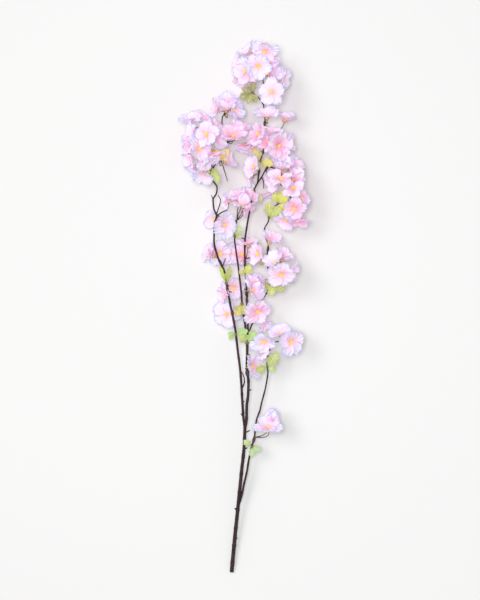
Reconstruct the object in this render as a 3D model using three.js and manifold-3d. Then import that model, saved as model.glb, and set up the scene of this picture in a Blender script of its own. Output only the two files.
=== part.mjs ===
// A cut spray of peach blossom, lying down: one brown branch, bunches of five-petalled
// blooms on fine stalks, and tufts of cut-edged leaves. Millimetres, +Z up from the surface
// that it lies on, +Y from the cut end of the stem towards the tip.
import * as THREE from "three";
import Module from "manifold-3d";

const wasm = await Module();
wasm.setup();

const stem = {
  cutEnd: -533, // y of the cut end
  restHeight: 3.8, // height of the stem's axis at its cut end
  lieHeight: 46, // height of the twigs where the blooms hold them up
  riseLength: 480, // length over which the stem climbs from one to the other
  sides: 5,
  twigSides: 4,
  twigRadius: 2.7, // a stem that starts thinner than this has the twigs' sides
};
const bloomSize = {
  petals: 5,
  thickness: 0.7, // of a petal
  cornerAngle: 25, // degrees from a petal's middle to its outer corners
  unevenness: 12, // degrees by which one petal may rise above its neighbours
  sideView: 45, // a bloom that faces less far up than this has its turn measured from its top
  bends: [0, 8, -8, 16, -16, 24, -24, 32, -32, 40, -40, 48, 56], // degrees tried, to pass clear
  clearFrom: 0.25, // the share of a petal's length from which it is bent clear
  calyxLength: 9,
  calyxRadius: 2.4,
  stamenHeight: 6,
  stalkRadius: 1,
  stalkBend: 18, // length over which a stalk turns to face the way its bloom does
  rootDepth: 1, // how deep a stalk's root is sunk in what it grows from
};
const leafSize = {
  thickness: 0.7,
  width: 0.76, // widest span of a blade, as a share of its length
  fold: 0.12, // how far the blade's sides stand above its rib, as a share of its width
  arch: 0.14, // how far the middle of the rib stands above a straight line
  sleeveLength: 7,
  rootReach: 0.6, // where a blade starts, as a share of its sleeve's radius
  rootTurn: 0.7, // how far a blade's root turns from along its sleeve to square to it
  // Half of a blade's outline, as shares of its length and of its half width.
  outline: [[0, 0.14], [0.4, 1], [0.52, 0.5], [0.78, 0.72]],
  ribPoint: 0.5, // where the rib bends, as a share of the length
};
const nubSize = { rise: 20, taper: 0.55, sides: 4 };
const gap = 0.3; // clearance between touching pieces
const mergeWithin = 0.05; // how far a face may shift where a cut has left slivers
const plotMiddle = { x: -2.8, y: 1.65 }; // the middle of the whole spray, which becomes the origin
const sleeveSides = 4;
const surfaceSize = { across: 1000, along: 2000, deep: 100 };

const looks = {
  bark: { color: 0x3c2430, roughness: 0.75, metalness: 0 },
  blossom: { color: 0xf6d3ec, roughness: 0.8, metalness: 0 },
  leaf: { color: 0xbfca74, roughness: 0.7, metalness: 0 },
};

// Each stem: radius at its start and end, and the plan of its middle line, from the root up.
// A third number in a point lifts it above the height at which the spray lies there.
const stems = [
  { name: "trunk", start: 4, end: 3.1,
    line: [[-28, -533], [-22.5, -471], [-16.5, -413], [-12, -368], [-7.5, -322], [-3, -281],
      [-1, -234]] },
  { name: "side stem", start: 2.3, end: 1.2,
    line: [[-13, -393], [-7, -374], [-3.6, -355], [3, -326], [7, -301], [12, -279], [18, -257],
      [22, -223], [29, -203], [32, -189], [40, -158], [45, -127], [43, -106], [46, -86], [55, -71]] },
  { name: "left stem", start: 2.6, end: 1.2,
    line: [[-1, -240], [-4, -219], [-6, -191], [-8, -155], [-10.6, -121], [-15.6, -81], [-20, -43],
      [-26, -11], [-30, 7], [-37, 45], [-42.6, 77], [-53, 98], [-60.4, 121], [-63, 136], [-62, 169],
      [-58, 189], [-63, 200], [-65, 221], [-58.5, 232], [-57.5, 247], [-69, 264], [-68, 287],
      [-73, 319], [-85, 345], [-97, 361]] },
  { name: "middle stem", start: 2.9, end: 2.6,
    line: [[-1, -240], [2, -223], [2.6, -193], [5, -174], [6, -143], [3, -121], [3.6, -74],
      [2.6, -51]] },
  { name: "inner twig", start: 2.3, end: 1.2,
    line: [[2.8, -60], [-1, -29], [-6, 3], [-9, 39], [-13.6, 79], [-17, 103], [-21.6, 137],
      [-20.6, 157], [-19, 177]] },
  { name: "long twig", start: 2.1, end: 1.2,
    line: [[2.8, -60], [4.8, -43], [3.6, -3], [3, 18], [1.6, 59], [-1.4, 95], [-1, 139], [3.6, 171],
      [10.6, 210], [18.4, 243], [24, 253], [26.8, 275], [28.4, 290], [33, 311], [37, 319],
      [33.8, 331], [31.6, 341], [36, 357], [39, 379], [37, 403], [35, 423]] },
  { name: "right twig", start: 1.6, end: 1.2,
    line: [[4.4, -52], [11, -35], [18, -17], [25, 3], [37, 25], [49, 43], [51, 63], [47, 76],
      [42.6, 95], [44.4, 118], [46, 129], [39.6, 147], [38.4, 163], [46, 177], [48, 197],
      [59, 207], [77, 221], [85, 226]] },
  { name: "fork of the long twig", start: 1.4, end: 1.2,
    line: [[22.5, 251], [32, 265], [38.6, 277], [45, 286]] },
  { name: "twig across to the upper left", start: 1.4, end: 1.1,
    line: [[-67.5, 279], [-53, 305], [-41, 321], [-38, 333], [-43, 353], [-47, 373],
      [-46, 387], [-39, 394]] },
  { name: "bare spur", start: 1.1, end: 0.7,
    line: [[-52, 306], [-45, 287, -3], [-36, 258, -9]] },
  { name: "curled twig", start: 1.2, end: 0.7,
    line: [[-58.5, 190], [-52, 209, 2], [-50, 220, 3], [-55, 229, 3]] },
  { name: "twig to the middle", start: 1.3, end: 1,
    line: [[-58, 188], [-47, 195], [-37, 200], [-34, 213], [-33, 225]] },
  { name: "bent twig", start: 1.5, end: 0.8,
    line: [[-7.6, -160], [-2.2, -147, 1], [-3, -135, 1], [-9, -123]] },
  { name: "crossing twig", start: 1.3, end: 0.8, line: [[-1.2, 134], [-2.5, 142, 1], [-12, 144, 2]] },
  { name: "leafy spur", start: 1.2, end: 0.9, line: [[36.2, 410], [27, 424, 1], [11, 437, 2]] },
  { name: "hanging twig", start: 1.2, end: 0.8, line: [[32, 266], [36, 258, -2], [36.6, 243, -5]] },
];

// Each nub: where it leaves the stem, its direction in plan, its length and its radius.
const nubs = [
  { at: [-22, -466], towards: 35, length: 7, radius: 2.2 },
  { at: [-15.6, -404], towards: 160, length: 7, radius: 2.2 },
  { at: [-3, -281], towards: 25, length: 8, radius: 1.8 },
  { at: [-1, -248], towards: 28, length: 13, radius: 1.5 },
  { at: [-4.4, -216], towards: 125, length: 9, radius: 1.5 },
  { at: [-6, -187], towards: 40, length: 6, radius: 1.3 },
  { at: [5.5, -164], towards: 30, length: 8, radius: 1.5 },
  { at: [13.5, -273], towards: 150, length: 7, radius: 1.2 },
  { at: [20, -240], towards: 115, length: 9, radius: 1.2 },
  { at: [3.4, -92], towards: 20, length: 6, radius: 1.6 },
  { at: [2, 40], towards: 170, length: 6, radius: 1.3 },
  { at: [47, 76], towards: 20, length: 7, radius: 1.1 },
  { at: [-65, 220], towards: 110, length: 11, radius: 1 },
  { at: [13, 214], towards: 215, length: 7, radius: 1.3 },
];

// Each bunch: the stalk that grips its twig and carries the blooms, as x, y, z and radius, and
// its blooms, as the x, y and z of the throat, the direction that the bloom faces, as an angle
// in plan and an angle above the surface, its radius, how far its petals cup, and its turn.
const bunches = [
  { name: "blossoms_top",
    stalk: [[35.4, 414, 46, 2.8], [35, 425, 46, 2.8], [37, 447, 48, 1.7], [33, 471, 50, 1.5],
      [26, 490, 52, 1.3]],
    blooms: [
      [38, 515, 74, -90, 56, 28, 16, 10],
      [25, 483, 84, -80, 74, 27, 12, -10],
      [2, 474, 74, 190, 60, 28, 16, 40],
      [53, 431, 80, 190, 74, 29, 12, 18],
      [10, 510, 58, 135, 24, 27, 42, 0],
      [-5, 493, 46, 172, 16, 25, 44, 30],
      [-1, 465, 21, 225, 5, 25, 38, 0],
      [46, 498, 62, -42, 24, 26, 42, 0],
      [68, 464, 56, -5, 22, 26, 42, 0],
      [46, 467, 66, 20, 28, 27, 42, 0],
    ] },
  { name: "blossoms_upper_left",
    stalk: [[-43, 391, 46, 2.8], [-37, 396, 46, 2.8]],
    blooms: [
      [-50, 399, 54, 160, 20, 28, 40, 0],
      [-38, 394, 68, 100, 26, 29, 40, 0],
      [-28, 400, 54, -10, 24, 27, 40, 0],
      [-33, 410, 46, 84, 20, 28, 42, 36],
    ] },
  { name: "blossoms_left_tip",
    stalk: [[-91, 354, 46, 2.8], [-99, 364, 46, 2.8]],
    blooms: [
      [-111, 372, 54, 102, 26, 28, 32, 0],
      [-87, 373, 47, 72, 20, 26, 36, 20],
      [-97, 352, 66, 168, 26, 29, 40, 0],
    ] },
  { name: "blossoms_left_upper",
    stalk: [[-78, 331, 46, 2.9], [-84, 343, 46, 2.9]],
    blooms: [
      [-76, 346, 82, 150, 66, 28, 14, 20],
      [-70, 358, 60, 60, 26, 27, 42, 0],
      [-62, 341, 66, -8, 32, 29, 40, 0],
      [-104, 331, 58, 182, 24, 27, 42, 0],
    ] },
  { name: "blossoms_left_lower",
    stalk: [[-70.4, 302, 46, 3], [-72.6, 315, 46, 3]],
    blooms: [
      [-94, 319, 80, 0, 58, 28, 18, 0],
      [-102, 305, 60, 200, 24, 27, 42, 0],
      [-84, 297, 74, -40, 50, 25, 24, 0],
      [-64, 314, 62, -60, 28, 26, 40, 0],
    ] },
  { name: "blossoms_left_end",
    stalk: [[-68.6, 267, 46, 3], [-68.4, 278, 46, 3]],
    blooms: [
      [-98, 287, 42, 222, 12, 26, 42, 0],
      [-83, 277, 56, -100, 28, 28, 34, 0],
    ] },
  { name: "blossoms_left_side",
    stalk: [[-51, 308, 46, 2.8], [-45, 316, 46, 2.8]],
    blooms: [[-41, 294, 52, 36, 24, 26, 34, 0]] },
  { name: "blossoms_centre_left",
    stalk: [[-38.6, 327, 46, 2.8], [-38.4, 337, 46, 2.8]],
    blooms: [
      [-25, 342, 76, 84, 46, 32, 22, 0],
      [-14, 354, 60, 75, 26, 28, 42, 0],
    ] },
  { name: "blossoms_centre",
    stalk: [[33.6, 333, 46, 2.9], [31.8, 342, 46, 2.9]],
    blooms: [
      [28, 348, 72, 162, 34, 29, 34, 10],
      [0, 332, 42, -115, 4, 24, 38, 0],
      [15, 333, 52, -75, 20, 24, 36, 0],
    ] },
  { name: "blossoms_right_top",
    stalk: [[38.2, 369, 46, 2.8], [39, 378, 46, 2.8]],
    blooms: [
      [43, 381, 64, 96, 30, 30, 40, 0],
      [78, 377, 50, 72, 10, 26, 44, 0],
    ] },
  { name: "blossoms_right_upper",
    stalk: [[33.8, 312, 46, 2.9], [37, 318.6, 46, 2.9], [47, 322, 50, 1.6], [56, 325, 54, 1.4]],
    blooms: [
      [57, 344, 62, 100, 26, 27, 42, 0],
      [50, 333, 66, 172, 30, 27, 42, 0],
      [63, 325, 78, -5, 50, 31, 20, 0],
      [77, 330, 58, 8, 22, 27, 42, 0],
      [64, 301, 20, -92, 8, 25, 40, 0],
    ] },
  { name: "blossoms_right_middle",
    stalk: [[39.4, 278.4, 46, 2.8], [46, 287, 46, 2.8], [58, 283, 50, 1.6], [74, 270, 54, 1.5],
      [86, 258, 56, 1.3]],
    blooms: [
      [70, 277, 72, 80, 28, 31, 42, 0],
      [88, 280, 60, 42, 24, 29, 42, 0],
      [70, 257, 84, 84, 46, 29, 26, 0],
      [62, 256, 62, 205, 26, 27, 40, 0],
      [94, 258, 68, 50, 26, 28, 42, 0],
      [54, 240, 26, -95, 10, 25, 42, 0],
    ] },
  { name: "blossoms_right",
    stalk: [[79, 222, 46, 2.8], [86, 226.6, 46, 2.8], [95, 223, 50, 1.6], [101, 213, 52, 1.4]],
    blooms: [
      [97, 238, 80, 125, 50, 27, 22, 0],
      [96, 203, 78, -95, 60, 27, 14, 0],
      [108, 220, 68, 20, 52, 25, 18, 0],
      [103, 214, 52, 5, 14, 26, 42, 30],
      [107, 187, 52, -86, 12, 27, 42, 0],
      [81, 183, 60, -118, 22, 28, 34, 0],
    ] },
  { name: "blossoms_right_small",
    stalk: [[44.2, 116, 46, 2.9], [45.8, 126, 46, 2.9]],
    blooms: [[47, 133, 58, 64, 30, 31, 42, 0]] },
  { name: "blossoms_inner",
    stalk: [[26.6, 272, 46, 2.9], [27.8, 283, 46, 2.9]],
    blooms: [
      [19, 283, 62, 170, 36, 27, 30, 0],
      [14, 268, 36, 205, -10, 25, 26, 0],
    ] },
  { name: "blossoms_middle",
    stalk: [[-19.8, 168, 46, 2.8], [-18.8, 179, 46, 2.8]],
    blooms: [
      [-13, 219, 62, 122, 24, 27, 40, 0],
      [1, 221, 62, 58, 24, 27, 40, 0],
      [-5, 205, 74, 92, 30, 30, 38, 0],
      [-1, 210, 54, -58, 22, 25, 40, 0],
    ] },
  { name: "blossoms_middle_small",
    stalk: [[-34, 214, 46, 2.6], [-33, 226, 46, 2.6]],
    blooms: [[-31, 216, 52, 165, 30, 22, 40, 0]] },
  { name: "blossoms_mid_left",
    stalk: [[-61.8, 170, 46, 3], [-60, 180, 46, 3]],
    blooms: [
      [-45, 168, 70, 5, 54, 30, 24, -11],
      [-61, 184, 8, 225, 52, 24, 28, 0],
    ] },
  { name: "blossoms_row_left",
    stalk: [[-42.2, 75, 46, 3], [-47, 86, 46, 3]],
    blooms: [
      [-63, 107, 38, 150, 16, 27, 46, 0],
      [-52, 114, 29, -30, 71, 26, 11, 20],
      [-31, 115, 16, -70, 72, 29, 14, 20],
    ] },
  { name: "blossoms_row_middle",
    stalk: [[-1.2, 91, 46, 3], [-1.2, 102, 46, 3]],
    blooms: [
      [-7, 108, 22, 95, 64, 28, 18, 0],
      [5, 127, 46, 85, 22, 26, 38, 0],
      [27, 111, 62, 180, 50, 26, 26, 36],
    ] },
  { name: "blossoms_row_right",
    stalk: [[50.8, 59, 46, 3], [49.4, 69, 46, 3], [60, 72, 50, 1.5], [70, 78, 54, 1.4]],
    blooms: [
      [60, 90, 76, 125, 36, 29, 38, 0],
      [72, 98, 64, 62, 28, 28, 42, 0],
      [70, 71, 82, -80, 62, 28, 16, 0],
      [82, 77, 58, -12, 24, 27, 42, 0],
    ] },
  { name: "blossoms_side_right",
    stalk: [[44.6, 37, 46, 2.9], [50, 48, 46, 2.9]],
    blooms: [[35, 57, 60, 200, 22, 27, 42, 0]] },
  { name: "blossoms_low_left",
    stalk: [[-35.4, 36, 46, 3.1], [-37, 46, 46, 3.1]],
    blooms: [
      [-26, 45, 23, -75, 66, 25, 18, 0],
      [-38, 32, 26, 188, 34, 23, 38, 0],
    ] },
  { name: "blossoms_bottom_left",
    stalk: [[-25.6, -12, 46, 3.3], [-27.6, -1, 46, 3.3]],
    blooms: [[-37, -10, 27, 180, 73, 31, 10, -5]] },
  { name: "blossoms_bottom_right",
    stalk: [[3.2, 12, 46, 3.3], [2.6, 24, 46, 3.3]],
    blooms: [
      [10, 38, 64, 8, 34, 31, 36, 0],
      [14, 45, 52, 48, 22, 29, 42, 0],
      [22, -2, 68, -60, 52, 30, 18, 0],
      [33, -22, 44, -56, 18, 26, 42, 0],
    ] },
  { name: "blossoms_side_top",
    stalk: [[50, -77, 46, 2.8], [56.4, -69.4, 46, 2.8], [62, -64, 49, 1.4]],
    blooms: [
      [36, -62, 70, -85, 56, 28, 24, -18],
      [40, -80, 50, -80, 20, 25, 40, 36],
      [71, -53, 58, 105, 34, 27, 34, 0],
      [88, -64, 68, -10, 62, 31, 12, 18],
    ] },
  { name: "blossoms_stem",
    stalk: [[4.6, -133, 44.6, 4.6], [3.4, -122, 45, 4.6]],
    blooms: [[9, -115, 58, 12, 26, 31, 24, 36]] },
  { name: "blossoms_low",
    stalk: [[15.6, -267, 36.4, 3.4], [18.4, -256, 37.3, 3.4]],
    blooms: [
      [46, -240, 56, 95, 36, 32, 28, 0],
      [50, -229, 44, 78, 18, 29, 38, 36],
    ] },
];

// Each tuft: its sleeve's middle on the twig, with a third number that lifts it as in stems,
// the sleeve's direction in plan, its radius, and its blades, as direction in plan, angle above
// the surface, length and, where the blade is slender, its width as a share of its length.
const tufts = [
  { name: "leaves_side_low", at: [13, -276], along: 65, radius: 3.6,
    blades: [[140, 20, 21], [-95, 15, 20], [-20, 25, 19]] },
  { name: "leaves_side", at: [44, -115], along: 94, radius: 3.3,
    blades: [[200, 18, 25], [60, 25, 40], [-30, 0, 16]] },
  { name: "leaves_stem_left", at: [-19.2, -50], along: 97, radius: 3.8,
    blades: [[170, 12, 15], [218, -5, 15], [20, 24, 26]] },
  { name: "leaves_stem_right", at: [3.3, -67], along: 93, radius: 4.8,
    blades: [[60, 25, 32], [128, 28, 25]] },
  { name: "leaves_lower_twig", at: [-6.8, 11], along: 104, radius: 4,
    blades: [[246, 22, 28], [-68, 15, 24]] },
  { name: "leaves_left_narrow", at: [-38.4, 52.5], along: 103, radius: 3.8,
    blades: [[110, 8, 36, 0.24], [80, 22, 38, 0.34]] },
  { name: "leaves_middle_twig", at: [1, 68], along: 95, radius: 3.7,
    blades: [[75, 26, 24], [140, 15, 16], [-62, 20, 19]] },
  { name: "leaves_right_low", at: [50.6, 53], along: 85, radius: 3.4,
    blades: [[-25, 15, 32], [-88, 20, 26], [-155, -5, 20]] },
  { name: "leaves_middle_tip", at: [-21.4, 147], along: 92, radius: 3.2,
    blades: [[62, 22, 24], [140, 22, 13], [-10, 20, 14]] },
  { name: "leaves_right_twig", at: [43, 92], along: 100, radius: 3.4,
    blades: [[150, 30, 25], [100, 34, 23]] },
  { name: "leaves_right_lower_fan", at: [47.2, 185], along: 85, radius: 3.4,
    blades: [[40, 28, 34], [88, 20, 30], [0, 8, 24]] },
  { name: "leaves_right_upper_fan", at: [66, 213], along: 38, radius: 3.4,
    blades: [[50, 34, 38], [110, 22, 26], [-35, 10, 24]] },
  { name: "leaves_long_twig", at: [17.4, 236], along: 78, radius: 3.4,
    blades: [[-60, 20, 27], [-125, 15, 24]] },
  { name: "leaves_upper_twig", at: [29.6, 297], along: 78, radius: 3.4,
    blades: [[116, 22, 30], [-14, 18, 27], [-105, 20, 20]] },
  { name: "leaves_left_pair", at: [-68.2, 285], along: 88, radius: 3.4,
    blades: [[-68, 25, 40, 0.48], [238, -8, 17]] },
  { name: "leaves_left_cross", at: [-43.4, 353], along: 102, radius: 3.2,
    blades: [[142, 18, 20], [42, 15, 16]] },
  { name: "leaves_left_inner", at: [-55, 301.5], along: 60, radius: 3.2,
    blades: [[38, 40, 36], [80, 38, 28]] },
  { name: "leaves_top", at: [14, 434.6, 1.8], along: 141, radius: 3.1,
    blades: [[205, 15, 29], [162, 28, 25], [248, 22, 26], [-68, 12, 22], [88, 20, 22]] },
];

const radians = (degrees) => (degrees * Math.PI) / 180;

// A repeatable number between -1 and 1 for each seed.
function uneven(seed) {
  const value = Math.sin(seed * 12.9898) * 43758.5453;
  return 2 * (value - Math.floor(value)) - 1;
}

// Height of the stems' middle lines above the surface: up from the cut end, then level.
function lieHeight(y) {
  const climb = Math.min(1, Math.max(0, (y - stem.cutEnd) / stem.riseLength));
  return stem.restHeight + (stem.lieHeight - stem.restHeight) * Math.sin((climb * Math.PI) / 2);
}

function direction(plan, elevation) {
  const flat = Math.cos(radians(elevation));
  const x = flat * Math.cos(radians(plan));
  const y = flat * Math.sin(radians(plan));
  return new THREE.Vector3(x, y, Math.sin(radians(elevation)));
}

function solid(points, triangles) {
  const vertProperties = new Float32Array(points.flatMap((point) => point.toArray()));
  const triVerts = new Uint32Array(triangles.flat());
  return new wasm.Manifold(new wasm.Mesh({ numProp: 3, vertProperties, triVerts }));
}

function join(solids) {
  return solids.reduce((whole, piece) => whole.add(piece));
}

// Two unit vectors square to an axis, the first as near as it can be to +Z or to +X.
function across(axis, fromTop) {
  const reference = new THREE.Vector3(fromTop ? 0 : 1, 0, fromTop ? 1 : 0);
  const first = reference.addScaledVector(axis, -reference.dot(axis)).normalize();
  return [first, new THREE.Vector3().crossVectors(axis, first)];
}

// A closed tube through rings of { at, radius }.
function tube(rings, sides) {
  const points = [];
  let side = null;
  rings.forEach((ring, i) => {
    const before = rings[Math.max(0, i - 1)].at;
    const after = rings[Math.min(rings.length - 1, i + 1)].at;
    const along = after.clone().sub(before).normalize();
    side = side ?? across(along, Math.abs(along.x) > 0.8)[0];
    side = side.clone().addScaledVector(along, -side.dot(along)).normalize();
    const other = new THREE.Vector3().crossVectors(along, side);
    for (let k = 0; k < sides; k += 1) {
      const angle = (2 * Math.PI * k) / sides;
      const point = ring.at.clone().addScaledVector(side, ring.radius * Math.cos(angle));
      points.push(point.addScaledVector(other, ring.radius * Math.sin(angle)));
    }
  });
  const triangles = [];
  for (let i = 0; i + 1 < rings.length; i += 1) {
    for (let k = 0; k < sides; k += 1) {
      const a = i * sides + k;
      const b = i * sides + ((k + 1) % sides);
      triangles.push([a, b, b + sides], [a, b + sides, a + sides]);
    }
  }
  const last = (rings.length - 1) * sides;
  for (let k = 1; k + 1 < sides; k += 1) {
    triangles.push([0, k + 1, k], [last, last + k, last + k + 1]);
  }
  return solid(points, triangles);
}

// A sheet of even thickness: its middle points, the direction that it is thick in, the
// triangles of one face, and its edge as a ring of point numbers.
function sheet(points, thick, half, faces, edge) {
  const count = points.length;
  const upper = points.map((point) => point.clone().addScaledVector(thick, half));
  const lower = points.map((point) => point.clone().addScaledVector(thick, -half));
  const triangles = [];
  faces.forEach(([a, b, c]) => {
    triangles.push([a, b, c], [a + count, c + count, b + count]);
  });
  edge.forEach((a, i) => {
    const b = edge[(i + 1) % edge.length];
    triangles.push([a, a + count, b + count], [a, b + count, b]);
  });
  return solid([...upper, ...lower], triangles);
}

function stemTube({ start, end, line }, grow) {
  const rings = line.map(([x, y, lift = 0], i) => {
    const radius = THREE.MathUtils.lerp(start, end, i / (line.length - 1)) + grow;
    return { at: new THREE.Vector3(x, y, lieHeight(y) + lift), radius };
  });
  return tube(rings, start < stem.twigRadius ? stem.twigSides : stem.sides);
}

function nub({ at, towards, length, radius }, grow) {
  const root = new THREE.Vector3(at[0], at[1], lieHeight(at[1]));
  const tip = root.clone().addScaledVector(direction(towards, nubSize.rise), length + grow);
  const rings = [
    { at: root, radius: radius + grow },
    { at: tip, radius: radius * nubSize.taper + grow },
  ];
  return tube(rings, nubSize.sides);
}

function branch(grow) {
  return join([...stems.map((each) => stemTube(each, grow)), ...nubs.map((each) => nub(each, grow))]);
}

// The frame of a bloom: its throat, its axis, a function that places a point by its bearing
// round the axis, its reach from the throat and its lift towards the axis, and a function that
// gives the direction in which a growing lift moves that point.
function bloomFrame([x, y, z, plan, elevation]) {
  const axis = direction(plan, elevation);
  const [first, second] = across(axis, elevation < bloomSize.sideView);
  const throat = new THREE.Vector3(x, y, z);
  const outward = (bearing) => {
    const out = first.clone().multiplyScalar(Math.cos(radians(bearing)));
    return out.addScaledVector(second, Math.sin(radians(bearing)));
  };
  const place = (bearing, reach, lift) => {
    const point = throat.clone().addScaledVector(outward(bearing), reach * Math.cos(radians(lift)));
    return point.addScaledVector(axis, reach * Math.sin(radians(lift)));
  };
  const rise = (bearing, lift) => {
    const up = axis.clone().multiplyScalar(Math.cos(radians(lift)));
    return up.addScaledVector(outward(bearing), -Math.sin(radians(lift)));
  };
  return { axis, first, throat, place, rise };
}

// The two outer corners of one petal.
function petalRim(radius, middle, lift, place, grow) {
  const reach = radius + grow;
  const corner = bloomSize.cornerAngle + THREE.MathUtils.radToDeg(grow / reach);
  return [-1, 1].map((side) => place(middle + side * corner, reach, lift));
}

// The lift of each petal: uneven, and bent up or down to pass clear of what is there already.
function petalLifts(bloom, seed, placed) {
  const { axis, place } = bloomFrame(bloom);
  const [radius, cup, turn] = bloom.slice(5);
  const half = bloomSize.thickness / 2 + gap;
  return Array.from({ length: bloomSize.petals }, (_, k) => {
    const middle = turn + (360 / bloomSize.petals) * k;
    const own = cup + bloomSize.unevenness * uneven(seed + k);
    const tries = bloomSize.bends.map((bend) => {
      const rim = petalRim(radius, middle, own + bend, place, gap);
      const root = place(middle, bloomSize.clearFrom * radius, own + bend);
      const probe = sheet([root, ...rim], axis, half, [[0, 1, 2]], [0, 1, 2]);
      return { lift: own + bend, crossed: crossing(probe, placed) };
    });
    return tries.reduce((best, each) => (each.crossed < best.crossed ? each : best)).lift;
  });
}

// The volume that a solid shares with the pieces already placed.
function crossing(probe, placed) {
  const box = probe.boundingBox();
  const near = placed.filter((other) => reachEachOther(other.box, box));
  return near.reduce((sum, other) => sum + probe.intersect(other.solid).volume(), 0);
}

// One bloom as a single closed skin: its stalk swells to the calyx, opens into the petals and
// rises through them as the stamens.
function bloomSolid(bloom, lifts, stalk, grow) {
  const { axis, first, throat, place, rise } = bloomFrame(bloom);
  const [radius, cup, turn] = bloom.slice(5);
  const half = bloomSize.thickness / 2 + grow;
  const hubHalf = bloomSize.thickness / 2 / Math.cos(radians(cup)) + grow;
  const share = 360 / bloomSize.petals;
  const upper = [];
  const lower = [];
  for (let k = 0; k < bloomSize.petals; k += 1) {
    const bearing = turn + share * (k - 0.5);
    upper.push(place(bearing, bloomSize.calyxRadius, cup).addScaledVector(axis, hubHalf));
    lower.push(place(bearing, bloomSize.calyxRadius + grow, cup).addScaledVector(axis, -hubHalf));
  }
  lifts.forEach((lift, k) => {
    const middle = turn + share * k;
    const thick = rise(middle, lift);
    petalRim(radius, middle, lift, place, grow).forEach((point) => {
      upper.push(point.clone().addScaledVector(thick, half));
      lower.push(point.addScaledVector(thick, -half));
    });
  });
  const stalkRings = bloomStalk(throat, axis, stalk).map(({ at, along }) => {
    const side = first.clone().addScaledVector(along, -first.dot(along)).normalize();
    const other = new THREE.Vector3().crossVectors(along, side);
    return lifts.map((_, k) => {
      const angle = radians(turn + share * (k - 0.5));
      const out = side.clone().multiplyScalar(Math.cos(angle)).addScaledVector(other, Math.sin(angle));
      return at.clone().addScaledVector(out, bloomSize.stalkRadius + grow);
    });
  });
  const tip = throat.clone().addScaledVector(axis, bloomSize.stamenHeight + grow);
  const points = [...upper, ...lower, ...stalkRings.flat(), tip];

  const sides = bloomSize.petals;
  const count = upper.length;
  const triangles = [];
  const bothFaces = (a, b, c) => triangles.push([a, b, c], [a + count, c + count, b + count]);
  for (let k = 0; k < sides; k += 1) {
    const next = (k + 1) % sides;
    const left = sides + 2 * k;
    const right = left + 1;
    bothFaces(k, left, right);
    bothFaces(k, right, next);
    triangles.push([k, next, points.length - 1]);
    [[k, left], [left, right], [right, next]].forEach(([a, b]) => {
      triangles.push([a, a + count, b + count], [a, b + count, b]);
    });
  }
  const ringStarts = [count, ...stalkRings.map((_, i) => 2 * count + i * sides)];
  for (let i = 0; i + 1 < ringStarts.length; i += 1) {
    for (let k = 0; k < sides; k += 1) {
      const next = (k + 1) % sides;
      const [a, b] = [ringStarts[i] + k, ringStarts[i] + next];
      const [c, d] = [ringStarts[i + 1] + k, ringStarts[i + 1] + next];
      triangles.push([b, a, c], [b, c, d]);
    }
  }
  const root = ringStarts.at(-1);
  for (let k = 1; k + 1 < sides; k += 1) {
    triangles.push([root, root + k + 1, root + k]);
  }
  return solid(points, triangles);
}

// Where a bloom's stalk runs, from the foot of its calyx down into the bunch's own stalk.
function bloomStalk(throat, axis, stalk) {
  const base = throat.clone().addScaledVector(axis, -bloomSize.calyxLength);
  const joints = stalk.map(([x, y, z, radius], i) => {
    const [fromX, fromY, fromZ] = stalk[Math.max(0, i - 1)];
    const [toX, toY, toZ] = stalk[Math.min(stalk.length - 1, i + 1)];
    const along = new THREE.Vector3(toX - fromX, toY - fromY, toZ - fromZ).normalize();
    return { at: new THREE.Vector3(x, y, z), along, radius };
  });
  joints.sort((a, b) => a.at.distanceTo(base) - b.at.distanceTo(base));
  const { at, along, radius } = joints[0];
  const out = base.clone().sub(at);
  out.addScaledVector(along, -out.dot(along)).normalize();
  const root = at.clone().addScaledVector(out, radius - bloomSize.rootDepth);
  const reach = root.distanceTo(base);
  const bend = base.clone().addScaledVector(axis, -Math.min(bloomSize.stalkBend, reach / 2));
  const curve = new THREE.QuadraticBezierCurve3(root, bend, base);
  return [1, 0].map((share) => ({ at: curve.getPoint(share), along: curve.getTangent(share) }));
}

function bunch({ stalk, blooms, lifts }, grow) {
  const rings = stalk.map(([x, y, z, radius]) => {
    return { at: new THREE.Vector3(x, y, z), radius: radius + grow };
  });
  const pieces = blooms.map((bloom, i) => bloomSolid(bloom, lifts[i], stalk, grow));
  return join([tube(rings, sleeveSides), ...pieces]);
}

// Works out the lifts of every bloom's petals, one bloom after another.
function settlePetals() {
  const placed = [{ solid: branch(gap), box: branch(gap).boundingBox() }];
  bunches.forEach((each, number) => {
    each.lifts = each.blooms.map((bloom, i) => {
      const lifts = petalLifts(bloom, number * 100 + i * 10, placed);
      const settled = bloomSolid(bloom, lifts, each.stalk, 0);
      placed.push({ solid: settled, box: settled.boundingBox() });
      return lifts;
    });
  });
}

// A blade with two teeth on each side, folded along its rib and arched over its length.
function blade(root, [plan, elevation, length, share = leafSize.width], grow) {
  const along = direction(plan, elevation);
  const side = direction(plan + 90, 0);
  const thick = new THREE.Vector3().crossVectors(along, side);
  const width = (share * length) / 2;
  const place = (reach, span) => {
    const arch = leafSize.arch * length * Math.sin(Math.PI * reach);
    const fold = leafSize.fold * width * Math.abs(span);
    const stretch = length + 2 * grow;
    const point = root.clone().addScaledVector(along, reach * stretch - grow);
    point.addScaledVector(side, span * width + Math.sign(span) * grow);
    return point.addScaledVector(thick, arch + fold);
  };
  const right = leafSize.outline.map(([reach, span]) => place(reach, -span));
  const left = leafSize.outline.map(([reach, span]) => place(reach, span)).reverse();
  const outline = [...right, place(1, 0), ...left];
  const edge = outline.map((_, i) => i);
  const rib = outline.length;
  const faces = edge.map((a, i) => [rib, a, edge[(i + 1) % edge.length]]);
  const points = [...outline, place(leafSize.ribPoint, 0)];
  return sheet(points, thick, leafSize.thickness / 2 + grow, faces, edge);
}

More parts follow.
